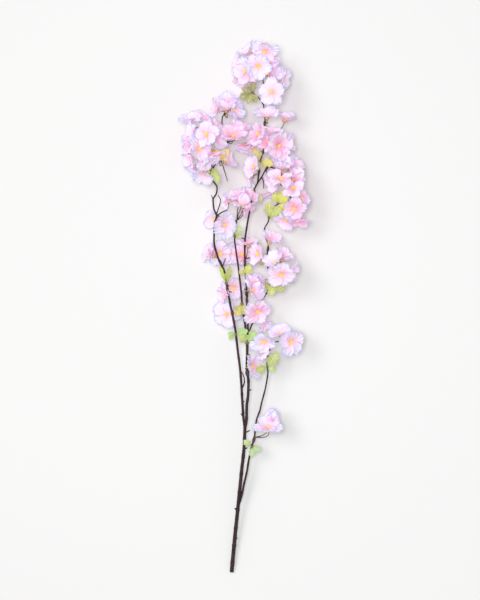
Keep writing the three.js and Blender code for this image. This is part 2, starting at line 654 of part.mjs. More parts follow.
function tuft({ at, along, radius, blades }, grow) {
  const [x, y, lift = 0] = at;
  const middle = new THREE.Vector3(x, y, lieHeight(y) + lift);
  const half = direction(along, 0).multiplyScalar(leafSize.sleeveLength / 2 + grow);
  const ends = [middle.clone().sub(half), middle.clone().add(half)];
  const sleeve = tube(ends.map((end) => ({ at: end, radius: radius + grow })), sleeveSides);
  const rooted = blades.map((each) => {
    const out = direction(each[0], each[1]);
    const line = direction(along, 0);
    out.addScaledVector(line, -leafSize.rootTurn * out.dot(line)).normalize();
    return blade(middle.clone().addScaledVector(out, radius * leafSize.rootReach), each, grow);
  });
  return join([sleeve, ...rooted]);
}

function surfaceBelow() {
  const { across: width, along, deep } = surfaceSize;
  const box = new THREE.BoxGeometry(width, along, deep).translate(0, 0, -deep / 2);
  const corners = box.getAttribute("position");
  const points = [];
  const known = new Map();
  const numbers = [];
  for (let i = 0; i < corners.count; i += 1) {
    const point = new THREE.Vector3().fromBufferAttribute(corners, i);
    const key = point.toArray().join();
    if (!known.has(key)) {
      known.set(key, points.length);
      points.push(point);
    }
    numbers.push(known.get(key));
  }
  const index = [...box.index.array].map((i) => numbers[i]);
  const triangles = [];
  for (let i = 0; i < index.length; i += 3) {
    triangles.push(index.slice(i, i + 3));
  }
  return solid(points, triangles);
}

// The largest body of a solid: what a cut leaves loose is dropped.
function mainBody(whole) {
  const bodies = whole.decompose();
  bodies.sort((a, b) => b.volume() - a.volume());
  return bodies[0];
}

function mesh(name, body, look) {
  const { numProp, vertProperties, triVerts } = body.getMesh();
  const geometry = new THREE.BufferGeometry();
  const positions = new Float32Array((vertProperties.length / numProp) * 3);
  for (let i = 0; i * numProp < vertProperties.length; i += 1) {
    positions.set(vertProperties.subarray(i * numProp, i * numProp + 3), i * 3);
  }
  geometry.setAttribute("position", new THREE.BufferAttribute(positions, 3));
  geometry.setIndex(new THREE.BufferAttribute(new Uint32Array(triVerts), 1));
  geometry.computeVertexNormals();
  const result = new THREE.Mesh(geometry, new THREE.MeshStandardMaterial(look));
  result.name = name;
  return result;
}

function reachEachOther(a, b) {
  return [0, 1, 2].every((i) => a.min[i] <= b.max[i] && b.min[i] <= a.max[i]);
}

const surface = surfaceBelow();
const group = new THREE.Group();
const cleared = [];

// Adds a piece, cut clear of the surface and of every piece that is already there.
function addPiece(name, build, look) {
  let body = build(0).subtract(surface);
  const box = body.boundingBox();
  cleared.filter((other) => reachEachOther(other.box, box)).forEach((other) => {
    body = body.subtract(other.grown);
  });
  const grown = build(gap);
  cleared.push({ grown, box: grown.boundingBox() });
  group.add(mesh(name, mainBody(body.simplify(mergeWithin)), look));
}

settlePetals();
addPiece("branch", branch, looks.bark);
bunches.forEach((each) => addPiece(each.name, (grow) => bunch(each, grow), looks.blossom));
tufts.forEach((each) => addPiece(each.name, (grow) => tuft(each, grow), looks.leaf));

group.position.set(-plotMiddle.x, -plotMiddle.y, 0);

export default group;
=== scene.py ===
import math

import bpy
import numpy as np
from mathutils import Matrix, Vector, noise
from mathutils.bvhtree import BVHTree


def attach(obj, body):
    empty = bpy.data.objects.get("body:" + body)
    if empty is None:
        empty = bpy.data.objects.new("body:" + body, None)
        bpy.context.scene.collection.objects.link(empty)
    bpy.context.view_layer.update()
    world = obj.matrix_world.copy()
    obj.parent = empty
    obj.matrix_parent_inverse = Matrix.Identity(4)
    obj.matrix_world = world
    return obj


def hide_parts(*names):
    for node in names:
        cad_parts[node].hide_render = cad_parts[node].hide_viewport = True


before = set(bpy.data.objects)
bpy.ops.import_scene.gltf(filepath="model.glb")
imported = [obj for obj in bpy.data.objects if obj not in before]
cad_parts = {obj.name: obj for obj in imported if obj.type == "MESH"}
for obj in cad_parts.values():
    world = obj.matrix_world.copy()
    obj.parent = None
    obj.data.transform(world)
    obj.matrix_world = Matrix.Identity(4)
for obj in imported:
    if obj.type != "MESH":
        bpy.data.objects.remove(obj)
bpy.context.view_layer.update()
print("frame loaded with", len(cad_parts), "nodes")

# The tables and the rules of placing are those of the solids, in millimetres and degrees.
layout = {
    "middleX": -2.8, "middleY": 1.65,  # what the whole spray is shifted by
    "cutEnd": -533, "restHeight": 3.8, "lieHeight": 46, "riseLength": 480,
    "sharpAngle": 50,  # edges sharper than this are shaded as edges
    "lowest": 0.2,  # height that everything keeps above the surface
}

# Each stem: its radius at its start and end, and the plan of its middle line, from the root up.
# A third number in a point lifts it above the height at which the spray lies there.
stems = [
    # trunk
    (4, 3.1, [[-28, -533], [-22.5, -471], [-16.5, -413], [-12, -368], [-7.5, -322], [-3, -281],
        [-1, -234]]),
    # side stem
    (2.3, 1.2, [[-13, -393], [-7, -374], [-3.6, -355], [3, -326], [7, -301], [12, -279], [18, -257],
        [22, -223], [29, -203], [32, -189], [40, -158], [45, -127], [43, -106], [46, -86], [55, -71]]),
    # left stem
    (2.6, 1.2, [[-1, -240], [-4, -219], [-6, -191], [-8, -155], [-10.6, -121], [-15.6, -81], [-20, -43],
        [-26, -11], [-30, 7], [-37, 45], [-42.6, 77], [-53, 98], [-60.4, 121], [-63, 136], [-62, 169],
        [-58, 189], [-63, 200], [-65, 221], [-58.5, 232], [-57.5, 247], [-69, 264], [-68, 287],
        [-73, 319], [-85, 345], [-97, 361]]),
    # middle stem
    (2.9, 2.6, [[-1, -240], [2, -223], [2.6, -193], [5, -174], [6, -143], [3, -121], [3.6, -74],
        [2.6, -51]]),
    # inner twig
    (2.3, 1.2, [[2.8, -60], [-1, -29], [-6, 3], [-9, 39], [-13.6, 79], [-17, 103], [-21.6, 137],
        [-20.6, 157], [-19, 177]]),
    # long twig
    (2.1, 1.2, [[2.8, -60], [4.8, -43], [3.6, -3], [3, 18], [1.6, 59], [-1.4, 95], [-1, 139], [3.6, 171],
        [10.6, 210], [18.4, 243], [24, 253], [26.8, 275], [28.4, 290], [33, 311], [37, 319], [33.8, 331],
        [31.6, 341], [36, 357], [39, 379], [37, 403], [35, 423]]),
    # right twig
    (1.6, 1.2, [[4.4, -52], [11, -35], [18, -17], [25, 3], [37, 25], [49, 43], [51, 63], [47, 76],
        [42.6, 95], [44.4, 118], [46, 129], [39.6, 147], [38.4, 163], [46, 177], [48, 197], [59, 207],
        [77, 221], [85, 226]]),
    # fork of the long twig
    (1.4, 1.2, [[22.5, 251], [32, 265], [38.6, 277], [45, 286]]),
    # twig across to the upper left
    (1.4, 1.1, [[-67.5, 279], [-53, 305], [-41, 321], [-38, 333], [-43, 353], [-47, 373], [-46, 387],
        [-39, 394]]),
    # bare spur
    (1.1, 0.7, [[-52, 306], [-45, 287, -3], [-36, 258, -9]]),
    # curled twig
    (1.2, 0.7, [[-58.5, 190], [-52, 209, 2], [-50, 220, 3], [-55, 229, 3]]),
    # twig to the middle
    (1.3, 1, [[-58, 188], [-47, 195], [-37, 200], [-34, 213], [-33, 225]]),
    # bent twig
    (1.5, 0.8, [[-7.6, -160], [-2.2, -147, 1], [-3, -135, 1], [-9, -123]]),
    # crossing twig
    (1.3, 0.8, [[-1.2, 134], [-2.5, 142, 1], [-12, 144, 2]]),
    # leafy spur
    (1.2, 0.9, [[36.2, 410], [27, 424, 1], [11, 437, 2]]),
    # hanging twig
    (1.2, 0.8, [[32, 266], [36, 258, -2], [36.6, 243, -5]]),
]

# Each nub: where it leaves the stem, its direction in plan, its length and its radius.
nubs = [
    (-22, -466, 35, 7, 2.2), (-15.6, -404, 160, 7, 2.2), (-3, -281, 25, 8, 1.8), (-1, -248, 28, 13, 1.5),
    (-4.4, -216, 125, 9, 1.5), (-6, -187, 40, 6, 1.3), (5.5, -164, 30, 8, 1.5), (13.5, -273, 150, 7, 1.2),
    (20, -240, 115, 9, 1.2), (3.4, -92, 20, 6, 1.6), (2, 40, 170, 6, 1.3), (47, 76, 20, 7, 1.1),
    (-65, 220, 110, 11, 1), (13, 214, 215, 7, 1.3),
]

# Each bunch: how warm it is, from lilac at 0 to rose at 1, the stalk that grips its twig, as x, y,
# z and radius, and its blooms, as the x, y and z of the throat, the direction that the bloom faces,
# as an angle in plan and one above the surface, its radius, how far its petals cup, and its turn.
bunches = {
    "top": (0.5, [[35.4, 414, 46, 2.8], [35, 425, 46, 2.8], [37, 447, 48, 1.7], [33, 471, 50, 1.5],
        [26, 490, 52, 1.3]], [
        [38, 515, 74, -90, 56, 28, 16, 10], [25, 483, 84, -80, 74, 27, 12, -10],
        [2, 474, 74, 190, 60, 28, 16, 40], [53, 431, 80, 190, 74, 29, 12, 18],
        [10, 510, 58, 135, 24, 27, 42, 0], [-5, 493, 46, 172, 16, 25, 44, 30],
        [-1, 465, 21, 225, 5, 25, 38, 0], [46, 498, 62, -42, 24, 26, 42, 0],
        [68, 464, 56, -5, 22, 26, 42, 0], [46, 467, 66, 20, 28, 27, 42, 0]]),
    "upper_left": (0.35, [[-43, 391, 46, 2.8], [-37, 396, 46, 2.8]], [
        [-50, 399, 54, 160, 20, 28, 40, 0], [-38, 394, 68, 100, 26, 29, 40, 0],
        [-28, 400, 54, -10, 24, 27, 40, 0], [-33, 410, 46, 84, 20, 28, 42, 36]]),
    "left_tip": (0.3, [[-91, 354, 46, 2.8], [-99, 364, 46, 2.8]], [
        [-111, 372, 54, 102, 26, 28, 32, 0], [-87, 373, 47, 72, 20, 26, 36, 20],
        [-97, 352, 66, 168, 26, 29, 40, 0]]),
    "left_upper": (0.6, [[-78, 331, 46, 2.9], [-84, 343, 46, 2.9]], [
        [-76, 346, 82, 150, 66, 28, 14, 20], [-70, 358, 60, 60, 26, 27, 42, 0],
        [-62, 341, 66, -8, 32, 29, 40, 0], [-104, 331, 58, 182, 24, 27, 42, 0]]),
    "left_lower": (0.55, [[-70.4, 302, 46, 3], [-72.6, 315, 46, 3]], [
        [-94, 319, 80, 0, 58, 28, 18, 0], [-102, 305, 60, 200, 24, 27, 42, 0],
        [-84, 297, 74, -40, 50, 25, 24, 0], [-64, 314, 62, -60, 28, 26, 40, 0]]),
    "left_end": (0.15, [[-68.6, 267, 46, 3], [-68.4, 278, 46, 3]], [
        [-98, 287, 42, 222, 12, 26, 42, 0], [-83, 277, 56, -100, 28, 28, 34, 0]]),
    "left_side": (0.5, [[-51, 308, 46, 2.8], [-45, 316, 46, 2.8]], [
        [-41, 294, 52, 36, 24, 26, 34, 0]]),
    "centre_left": (0.9, [[-38.6, 327, 46, 2.8], [-38.4, 337, 46, 2.8]], [
        [-25, 342, 76, 84, 46, 32, 22, 0], [-14, 354, 60, 75, 26, 28, 42, 0]]),
    "centre": (0.75, [[33.6, 333, 46, 2.9], [31.8, 342, 46, 2.9]], [
        [28, 348, 72, 162, 34, 29, 34, 10], [0, 332, 42, -115, 4, 24, 38, 0],
        [15, 333, 52, -75, 20, 24, 36, 0]]),
    "right_top": (0.45, [[38.2, 369, 46, 2.8], [39, 378, 46, 2.8]], [
        [43, 381, 64, 96, 30, 30, 40, 0], [78, 377, 50, 72, 10, 26, 44, 0]]),
    "right_upper": (0.75, [[33.8, 312, 46, 2.9], [37, 318.6, 46, 2.9], [47, 322, 50, 1.6],
        [56, 325, 54, 1.4]], [
        [57, 344, 62, 100, 26, 27, 42, 0], [50, 333, 66, 172, 30, 27, 42, 0],
        [63, 325, 78, -5, 50, 31, 20, 0], [77, 330, 58, 8, 22, 27, 42, 0],
        [64, 301, 20, -92, 8, 25, 40, 0]]),
    "right_middle": (0.65, [[39.4, 278.4, 46, 2.8], [46, 287, 46, 2.8], [58, 283, 50, 1.6],
        [74, 270, 54, 1.5], [86, 258, 56, 1.3]], [
        [70, 277, 72, 80, 28, 31, 42, 0], [88, 280, 60, 42, 24, 29, 42, 0],
        [70, 257, 84, 84, 46, 29, 26, 0], [62, 256, 62, 205, 26, 27, 40, 0],
        [94, 258, 68, 50, 26, 28, 42, 0], [54, 240, 26, -95, 10, 25, 42, 0]]),
    "right": (0.85, [[79, 222, 46, 2.8], [86, 226.6, 46, 2.8], [95, 223, 50, 1.6], [101, 213, 52, 1.4]], [
        [97, 238, 80, 125, 50, 27, 22, 0], [96, 203, 78, -95, 60, 27, 14, 0],
        [108, 220, 68, 20, 52, 25, 18, 0], [103, 214, 52, 5, 14, 26, 42, 30],
        [107, 187, 52, -86, 12, 27, 42, 0], [81, 183, 60, -118, 22, 28, 34, 0]]),
    "right_small": (0.7, [[44.2, 116, 46, 2.9], [45.8, 126, 46, 2.9]], [
        [47, 133, 58, 64, 30, 31, 42, 0]]),
    "inner": (0.5, [[26.6, 272, 46, 2.9], [27.8, 283, 46, 2.9]], [
        [19, 283, 62, 170, 36, 27, 30, 0], [14, 268, 36, 205, -10, 25, 26, 0]]),
    "middle": (0.8, [[-19.8, 168, 46, 2.8], [-18.8, 179, 46, 2.8]], [
        [-13, 219, 62, 122, 24, 27, 40, 0], [1, 221, 62, 58, 24, 27, 40, 0],
        [-5, 205, 74, 92, 30, 30, 38, 0], [-1, 210, 54, -58, 22, 25, 40, 0]]),
    "middle_small": (0.3, [[-34, 214, 46, 2.6], [-33, 226, 46, 2.6]], [
        [-31, 216, 52, 165, 30, 22, 40, 0]]),
    "mid_left": (0.3, [[-61.8, 170, 46, 3], [-60, 180, 46, 3]], [
        [-45, 168, 70, 5, 54, 30, 24, -11], [-61, 184, 8, 225, 52, 24, 28, 0]]),
    "row_left": (0.6, [[-42.2, 75, 46, 3], [-47, 86, 46, 3]], [
        [-63, 107, 38, 150, 16, 27, 46, 0], [-52, 114, 29, -30, 71, 26, 11, 20],
        [-31, 115, 16, -70, 72, 29, 14, 20]]),
    "row_middle": (0.65, [[-1.2, 91, 46, 3], [-1.2, 102, 46, 3]], [
        [-7, 108, 22, 95, 64, 28, 18, 0], [5, 127, 46, 85, 22, 26, 38, 0],
        [27, 111, 62, 180, 50, 26, 26, 36]]),
    "row_right": (0.65, [[50.8, 59, 46, 3], [49.4, 69, 46, 3], [60, 72, 50, 1.5], [70, 78, 54, 1.4]], [
        [60, 90, 76, 125, 36, 29, 38, 0], [72, 98, 64, 62, 28, 28, 42, 0],
        [70, 71, 82, -80, 62, 28, 16, 0], [82, 77, 58, -12, 24, 27, 42, 0]]),
    "side_right": (0.8, [[44.6, 37, 46, 2.9], [50, 48, 46, 2.9]], [
        [35, 57, 60, 200, 22, 27, 42, 0]]),
    "low_left": (0.5, [[-35.4, 36, 46, 3.1], [-37, 46, 46, 3.1]], [
        [-26, 45, 23, -75, 66, 25, 18, 0], [-38, 32, 26, 188, 34, 23, 38, 0]]),
    "bottom_left": (0.25, [[-25.6, -12, 46, 3.3], [-27.6, -1, 46, 3.3]], [
        [-37, -10, 27, 180, 73, 31, 10, -5]]),
    "bottom_right": (0.6, [[3.2, 12, 46, 3.3], [2.6, 24, 46, 3.3]], [
        [10, 38, 64, 8, 34, 31, 36, 0], [14, 45, 52, 48, 22, 29, 42, 0], [22, -2, 68, -60, 52, 30, 18, 0],
        [33, -22, 44, -56, 18, 26, 42, 0]]),
    "side_top": (0.12, [[50, -77, 46, 2.8], [56.4, -69.4, 46, 2.8], [62, -64, 49, 1.4]], [
        [36, -62, 70, -85, 56, 28, 24, -18], [40, -80, 50, -80, 20, 25, 40, 36],
        [71, -53, 58, 105, 34, 27, 34, 0], [88, -64, 68, -10, 62, 31, 12, 18]]),
    "stem": (0.2, [[4.6, -133, 44.6, 4.6], [3.4, -122, 45, 4.6]], [
        [9, -115, 58, 12, 26, 31, 24, 36]]),
    "low": (0.1, [[15.6, -267, 36.4, 3.4], [18.4, -256, 37.3, 3.4]], [
        [46, -240, 56, 95, 36, 32, 28, 0], [50, -229, 44, 78, 18, 29, 38, 36]]),
}

# Each tuft: its tint, the middle of its foot on the twig, with a third number that lifts it as in
# stems, the foot's direction in plan, its radius, and its blades, as direction in plan, angle
# above the surface, length and, where the blade has its own, its width as a share of its length.
tufts = {
    "side_low": ((0.75, 0.85, 0.63), [13, -276], 65, 3.6,
        [[140, 20, 21], [-95, 15, 20], [-20, 25, 19]]),
    "side": ((0.74, 0.86, 0.53), [44, -115], 94, 3.3, [[200, 18, 25], [60, 25, 40], [-30, 0, 16]]),
    "stem_left": ((0.73, 0.84, 0.55), [-19.2, -50], 97, 3.8,
        [[170, 12, 15], [218, -5, 15], [20, 24, 26]]),
    "stem_right": ((0.74, 0.84, 0.55), [3.3, -67], 93, 4.8, [[60, 25, 32], [128, 28, 25]]),
    "lower_twig": ((0.81, 0.84, 0.51), [-6.8, 11], 104, 4, [[246, 22, 28], [-68, 15, 24]]),
    "left_narrow": ((0.77, 0.81, 0.43), [-38.4, 52.5], 103, 3.8,
        [[110, 8, 36, 0.24], [80, 22, 38, 0.34]]),
    "middle_twig": ((0.83, 0.84, 0.53), [1, 68], 95, 3.7, [[75, 26, 24], [140, 15, 16], [-62, 20, 19]]),
    "right_low": ((0.79, 0.82, 0.49), [50.6, 53], 85, 3.4,
        [[-25, 15, 32], [-88, 20, 26], [-155, -5, 20]]),
    "middle_tip": ((0.81, 0.82, 0.61), [-21.4, 147], 92, 3.2,
        [[62, 22, 24], [140, 22, 13], [-10, 20, 14]]),
    "right_twig": ((0.77, 0.76, 0.53), [43, 92], 100, 3.4, [[150, 30, 25], [100, 34, 23]]),
    "right_lower_fan": ((0.81, 0.84, 0.49), [47.2, 185], 85, 3.4,
        [[40, 28, 34], [88, 20, 30], [0, 8, 24]]),
    "right_upper_fan": ((0.89, 0.89, 0.51), [66, 213], 38, 3.4,
        [[50, 34, 38], [110, 22, 26], [-35, 10, 24]]),
    "long_twig": ((0.85, 0.87, 0.63), [17.4, 236], 78, 3.4, [[-60, 20, 27], [-125, 15, 24]]),
    "upper_twig": ((0.86, 0.86, 0.55), [29.6, 297], 78, 3.4,
        [[116, 22, 30], [-14, 18, 27], [-105, 20, 20]]),
    "left_pair": ((0.79, 0.86, 0.53), [-68.2, 285], 88, 3.4, [[-68, 25, 40, 0.48], [238, -8, 17]]),
    "left_cross": ((0.81, 0.84, 0.67), [-43.4, 353], 102, 3.2, [[142, 18, 20], [42, 15, 16]]),
    "left_inner": ((0.93, 0.86, 0.53), [-55, 301.5], 60, 3.2, [[38, 40, 36], [80, 38, 28]]),
    "top": ((0.69, 0.68, 0.51), [14, 434.6, 1.8], 141, 3.1,
        [[205, 15, 29], [162, 28, 25], [248, 22, 26], [-68, 12, 22], [88, 20, 22]]),
}


# A repeatable number between -1 and 1 for each seed.
def uneven(seed):
    value = math.sin(seed * 12.9898) * 43758.5453
    return 2 * (value - math.floor(value)) - 1


# Height of the stems' middle lines above the surface: up from the cut end, then level.
def lieHeight(y):
    climb = min(1, max(0, (y - layout["cutEnd"]) / layout["riseLength"]))
    rise = layout["lieHeight"] - layout["restHeight"]
    return layout["restHeight"] + rise * math.sin(climb * math.pi / 2)


def direction(plan, elevation):
    plan, elevation = math.radians(plan), math.radians(elevation)
    flat = math.cos(elevation)
    return np.array([flat * math.cos(plan), flat * math.sin(plan), math.sin(elevation)])


def unit(vector):
    return vector / max(np.linalg.norm(vector), 1e-9)


# A unit vector turned towards another that is square to it.
def turned(first, second, angle):
    return first * math.cos(angle) + second * math.sin(angle)


# Two unit vectors square to an axis, the first as near as it can be to +Z or to +X.
def across(axis, fromTop):
    reference = np.array([0, 0, 1.0]) if fromTop else np.array([1.0, 0, 0])
    first = unit(reference - axis * reference.dot(axis))
    return first, np.cross(axis, first)


# Millimetres about the tables' zero, turned into metres about the frame's.
def inFrame(points):
    shift = np.array([layout["middleX"], layout["middleY"], 0])
    return (np.asarray(points, float) - shift) / 1000


def smoothStep(low, high, value):
    share = np.clip((value - low) / (high - low), 0, 1)
    return share * share * (3 - 2 * share)


# A narrow hump, 1 at its middle.
def hump(value, middle, width):
    return np.exp(-(((value - middle) / width) ** 2))


# Random starts for waves, in radians.
def waveStarts(draw, count, most=6.28):
    return draw.uniform(0, most, count)


# Waves over a sheet: each has its height, and how fast it turns from side to side and along.
def rippled(waves, starts, s, v):
    return sum(size * np.sin(a * s + b * v + start) for (size, a, b), start in zip(waves, starts))


# The two faces of a thin sheet and its edge, from grids of its upper and lower points.
def sheetFaces(rows, columns):
    faces = []
    count = rows * columns
    for i in range(rows - 1):
        for j in range(columns - 1):
            a = i * columns + j
            quad = [a, a + columns, a + columns + 1, a + 1]
            faces.append(quad)
            faces.append([corner + count for corner in quad[::-1]])
    ring = [j for j in range(columns)]
    ring += [i * columns + columns - 1 for i in range(1, rows)]
    ring += [(rows - 1) * columns + j for j in range(columns - 2, -1, -1)]
    ring += [i * columns for i in range(rows - 2, 0, -1)]
    for a, b in zip(ring, ring[1:] + ring[:1]):
        faces.append([a, b, b + count, a + count])
    return faces


# Gathers the points and faces of one piece: a map place, a tone and a tint go with each point.
class Heap:
    def __init__(self):
        self.points, self.faces, self.places, self.tones, self.tints = [], [], [], [], []
        self.count = 0

    def add(self, points, faces, places, tone=0.0, tint=(1, 1, 1)):
        points = np.array(points, float).reshape(-1, 3)
        points[:, 2] = np.maximum(points[:, 2], layout["lowest"])
        self.points.append(points)
        self.faces.extend([[corner + self.count for corner in face] for face in faces])
        self.places.append(np.asarray(places, float).reshape(-1, 2))
        self.tones.append(np.broadcast_to(np.asarray(tone, float).ravel(), len(points)))
        self.tints.append(np.broadcast_to(np.asarray(linear(tint)), (len(points), 3)))
        self.count += len(points)

    # A ring-by-ring tube, closed at both ends.
    def tube(self, line, radii, sides, tone=0.0, tint=(1, 1, 1), bark=None):
        line = np.asarray(line, float)
        tones = np.broadcast_to(np.asarray(tone, float), len(line))
        lengths = np.concatenate([[0], np.cumsum(np.linalg.norm(np.diff(line, axis=0), axis=1))])
        points, places, side = [], [], None
        for i, middle in enumerate(line):
            along = unit(line[min(i + 1, len(line) - 1)] - line[max(i - 1, 0)])
            side = across(along, abs(along[0]) > 0.8)[0] if side is None else side
            side = unit(side - along * side.dot(along))
            other = np.cross(along, side)
            for k in range(sides):
                out = turned(side, other, 2 * math.pi * k / sides)
                radius = radii[i] if bark is None else radii[i] * bark(middle, out)
                points.append(middle + out * radius)
                places.append([k / sides, lengths[i]])
        faces = []
        for i in range(len(line) - 1):
            for k in range(sides):
                a, b = i * sides + k, i * sides + (k + 1) % sides
                faces.append([a, b, b + sides, a + sides])
        last = (len(line) - 1) * sides
        faces.append(list(range(sides))[::-1])
        faces.append([last + k for k in range(sides)])
        self.add(points, faces, places, np.repeat(tones, sides), tint)

    # A thin sheet over a grid of middle points, kept above a height, with map places for each point.
    def sheet(self, middle, thick, half, s, reach, tone, tint=(1, 1, 1), lowest=-math.inf):
        points = np.concatenate([(middle + thick * level).reshape(-1, 3) for level in (half, -half)])
        floors = np.repeat([lowest + 2 * half, lowest], len(points) // 2)
        points[:, 2] = np.maximum(points[:, 2], floors)
        places = np.stack(np.broadcast_arrays(0.5 + 0.5 * s, reach), axis=-1).reshape(-1, 2)
        self.add(points, sheetFaces(*middle.shape[:2]), np.concatenate([places, places]), tone, tint)

    def build(self, name, material, slot, node):
        mesh = bpy.data.meshes.new(name)
        mesh.from_pydata(inFrame(np.concatenate(self.points)).tolist(), [], self.faces)
        corners = np.empty(len(mesh.loops), np.int32)
        mesh.loops.foreach_get("vertex_index", corners)
        places = np.concatenate(self.places)
        mesh.uv_layers.new(name="place").data.foreach_set("uv", places[corners].ravel())
        tone = mesh.attributes.new("tone", "FLOAT", "POINT")
        tone.data.foreach_set("value", np.concatenate(self.tones))
        tint = mesh.attributes.new("tint", "FLOAT_COLOR", "POINT")
        tints = np.concatenate(self.tints)
        tint.data.foreach_set("color", np.hstack([tints, np.ones((len(tints), 1))]).ravel())
        mesh.shade_smooth()
        mesh.set_sharp_from_angle(angle=math.radians(layout["sharpAngle"]))
        mesh.materials.append(material)
        piece = bpy.data.objects.new(name, mesh)
        bpy.context.scene.collection.objects.link(piece)
        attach(piece, "root")
        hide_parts(node)


# Colours are chosen as they look on a screen, from 0 to 1, and turned linear here.
def linear(colour):
    return [v / 12.92 if v <= 0.04045 else ((v + 0.055) / 1.055) ** 2.4 for v in colour]


# Wraps a socket, so that shader maths reads as plain expressions.
class Link:
    def __init__(self, surface, socket):
        self.surface = surface
        self.socket = socket

    def maths(self, operation, first, second=0.0):
        sockets = {0: first, 1: second}
        return self.surface.node("ShaderNodeMath", {"operation": operation}, sockets)

    def __add__(self, other):
        return self.maths("ADD", self, other)

    def __radd__(self, other):
        return self.maths("ADD", other, self)

    def __sub__(self, other):
        return self.maths("SUBTRACT", self, other)

    def __rsub__(self, other):
        return self.maths("SUBTRACT", other, self)

    def __mul__(self, other):
        return self.maths("MULTIPLY", self, other)

    def __rmul__(self, other):
        return self.maths("MULTIPLY", other, self)

    def __abs__(self):
        return self.maths("ABSOLUTE", self)

    def sine(self):
        return self.maths("SINE", self)

    def atLeast(self, other):
        return self.maths("MAXIMUM", self, other)


# One material: every node but the maths comes from the node method.
class Surface:
    def __init__(self, name):
        self.material = bpy.data.materials.new(name)
        self.material.use_nodes = True
        self.tree = self.material.node_tree
        self.tree.nodes.clear()

    def node(self, kind, settings, sockets, output=0):
        made = self.tree.nodes.new(kind)
        for name, value in settings.items():
            if name == "stops":
                ramp = made.color_ramp
                while len(ramp.elements) < len(value):
                    ramp.elements.new(0.5)
                for element, (position, colour) in zip(ramp.elements, value):
                    element.position = position
                    element.color = (*linear(colour), 1)
            else:
                setattr(made, name, value)
        for key, value in sockets.items():
            if isinstance(value, Link):
                self.tree.links.new(value.socket, made.inputs[key])
            else:
                made.inputs[key].default_value = value
        return Link(self, made.outputs[output]) if made.outputs else None

    # The map place of a point: across the piece, and along it.
    def place(self):
        where = self.node("ShaderNodeUVMap", {"uv_map": "place"}, {})
        side = self.node("ShaderNodeSeparateXYZ", {}, {0: where}, "X")
        along = self.node("ShaderNodeSeparateXYZ", {}, {0: where}, "Y")
        return side, along

    def tone(self):
        return self.node("ShaderNodeAttribute", {"attribute_name": "tone"}, {}, "Fac")

    def tint(self):
        return self.node("ShaderNodeAttribute", {"attribute_name": "tint"}, {}, "Color")

    def inObject(self):
        return self.node("ShaderNodeTexCoord", {}, {}, "Object")

    def spot(self, x, y, z=0.0):
        return self.node("ShaderNodeCombineXYZ", {}, {0: x, 1: y, 2: z})

    def grain(self, where, scale, detail=3.0, roughness=0.55):
        sockets = {"Vector": where, "Scale": scale, "Detail": detail, "Roughness": roughness}
        return self.node("ShaderNodeTexNoise", {}, sockets, 0)

    def ramp(self, value, stops):
        return self.node("ShaderNodeValToRGB", {"stops": stops}, {0: value})

    def spread(self, value, low, high, start=0.0, end=1.0):
        sockets = {"Value": value, "From Min": low, "From Max": high, "To Min": start, "To Max": end}
        return self.node("ShaderNodeMapRange", {"clamp": True}, sockets)

    def mix(self, share, first, second):
        first = first if isinstance(first, Link) else (*linear(first), 1)
        second = second if isinstance(second, Link) else (*linear(second), 1)
        return self.node("ShaderNodeMix", {"data_type": "RGBA"}, {0: share, 6: first, 7: second}, 2)

    # One colour after another, each taking over between two values.
    def layers(self, value, colour, steps):
        for low, high, following in steps:
            colour = self.mix(self.spread(value, low, high), colour, following)
        return colour

    # Joins the shader: its colour, its relief, its other links, and the plain values of its finish.
    def finish(self, values, colour, height, others={}):
        relief = {"Height": height, "Strength": values["bumpStrength"], "Distance": values["bumpDepth"]}
        sockets = {
            "Base Color": colour, "Roughness": values["roughness"],
            "Specular IOR Level": values["specular"],
            "Normal": self.node("ShaderNodeBump", {}, relief),
        }
        # Painted glow: the surface gives off light in its own colour, though it is no lamp.
        if "paintedGlow" in values:
            sockets.update({"Emission Color": colour, "Emission Strength": values["paintedGlow"]})
        shader = self.node("ShaderNodeBsdfPrincipled", {}, {**sockets, **others})
        self.node("ShaderNodeOutputMaterial", {}, {"Surface": shader})
        return self.material


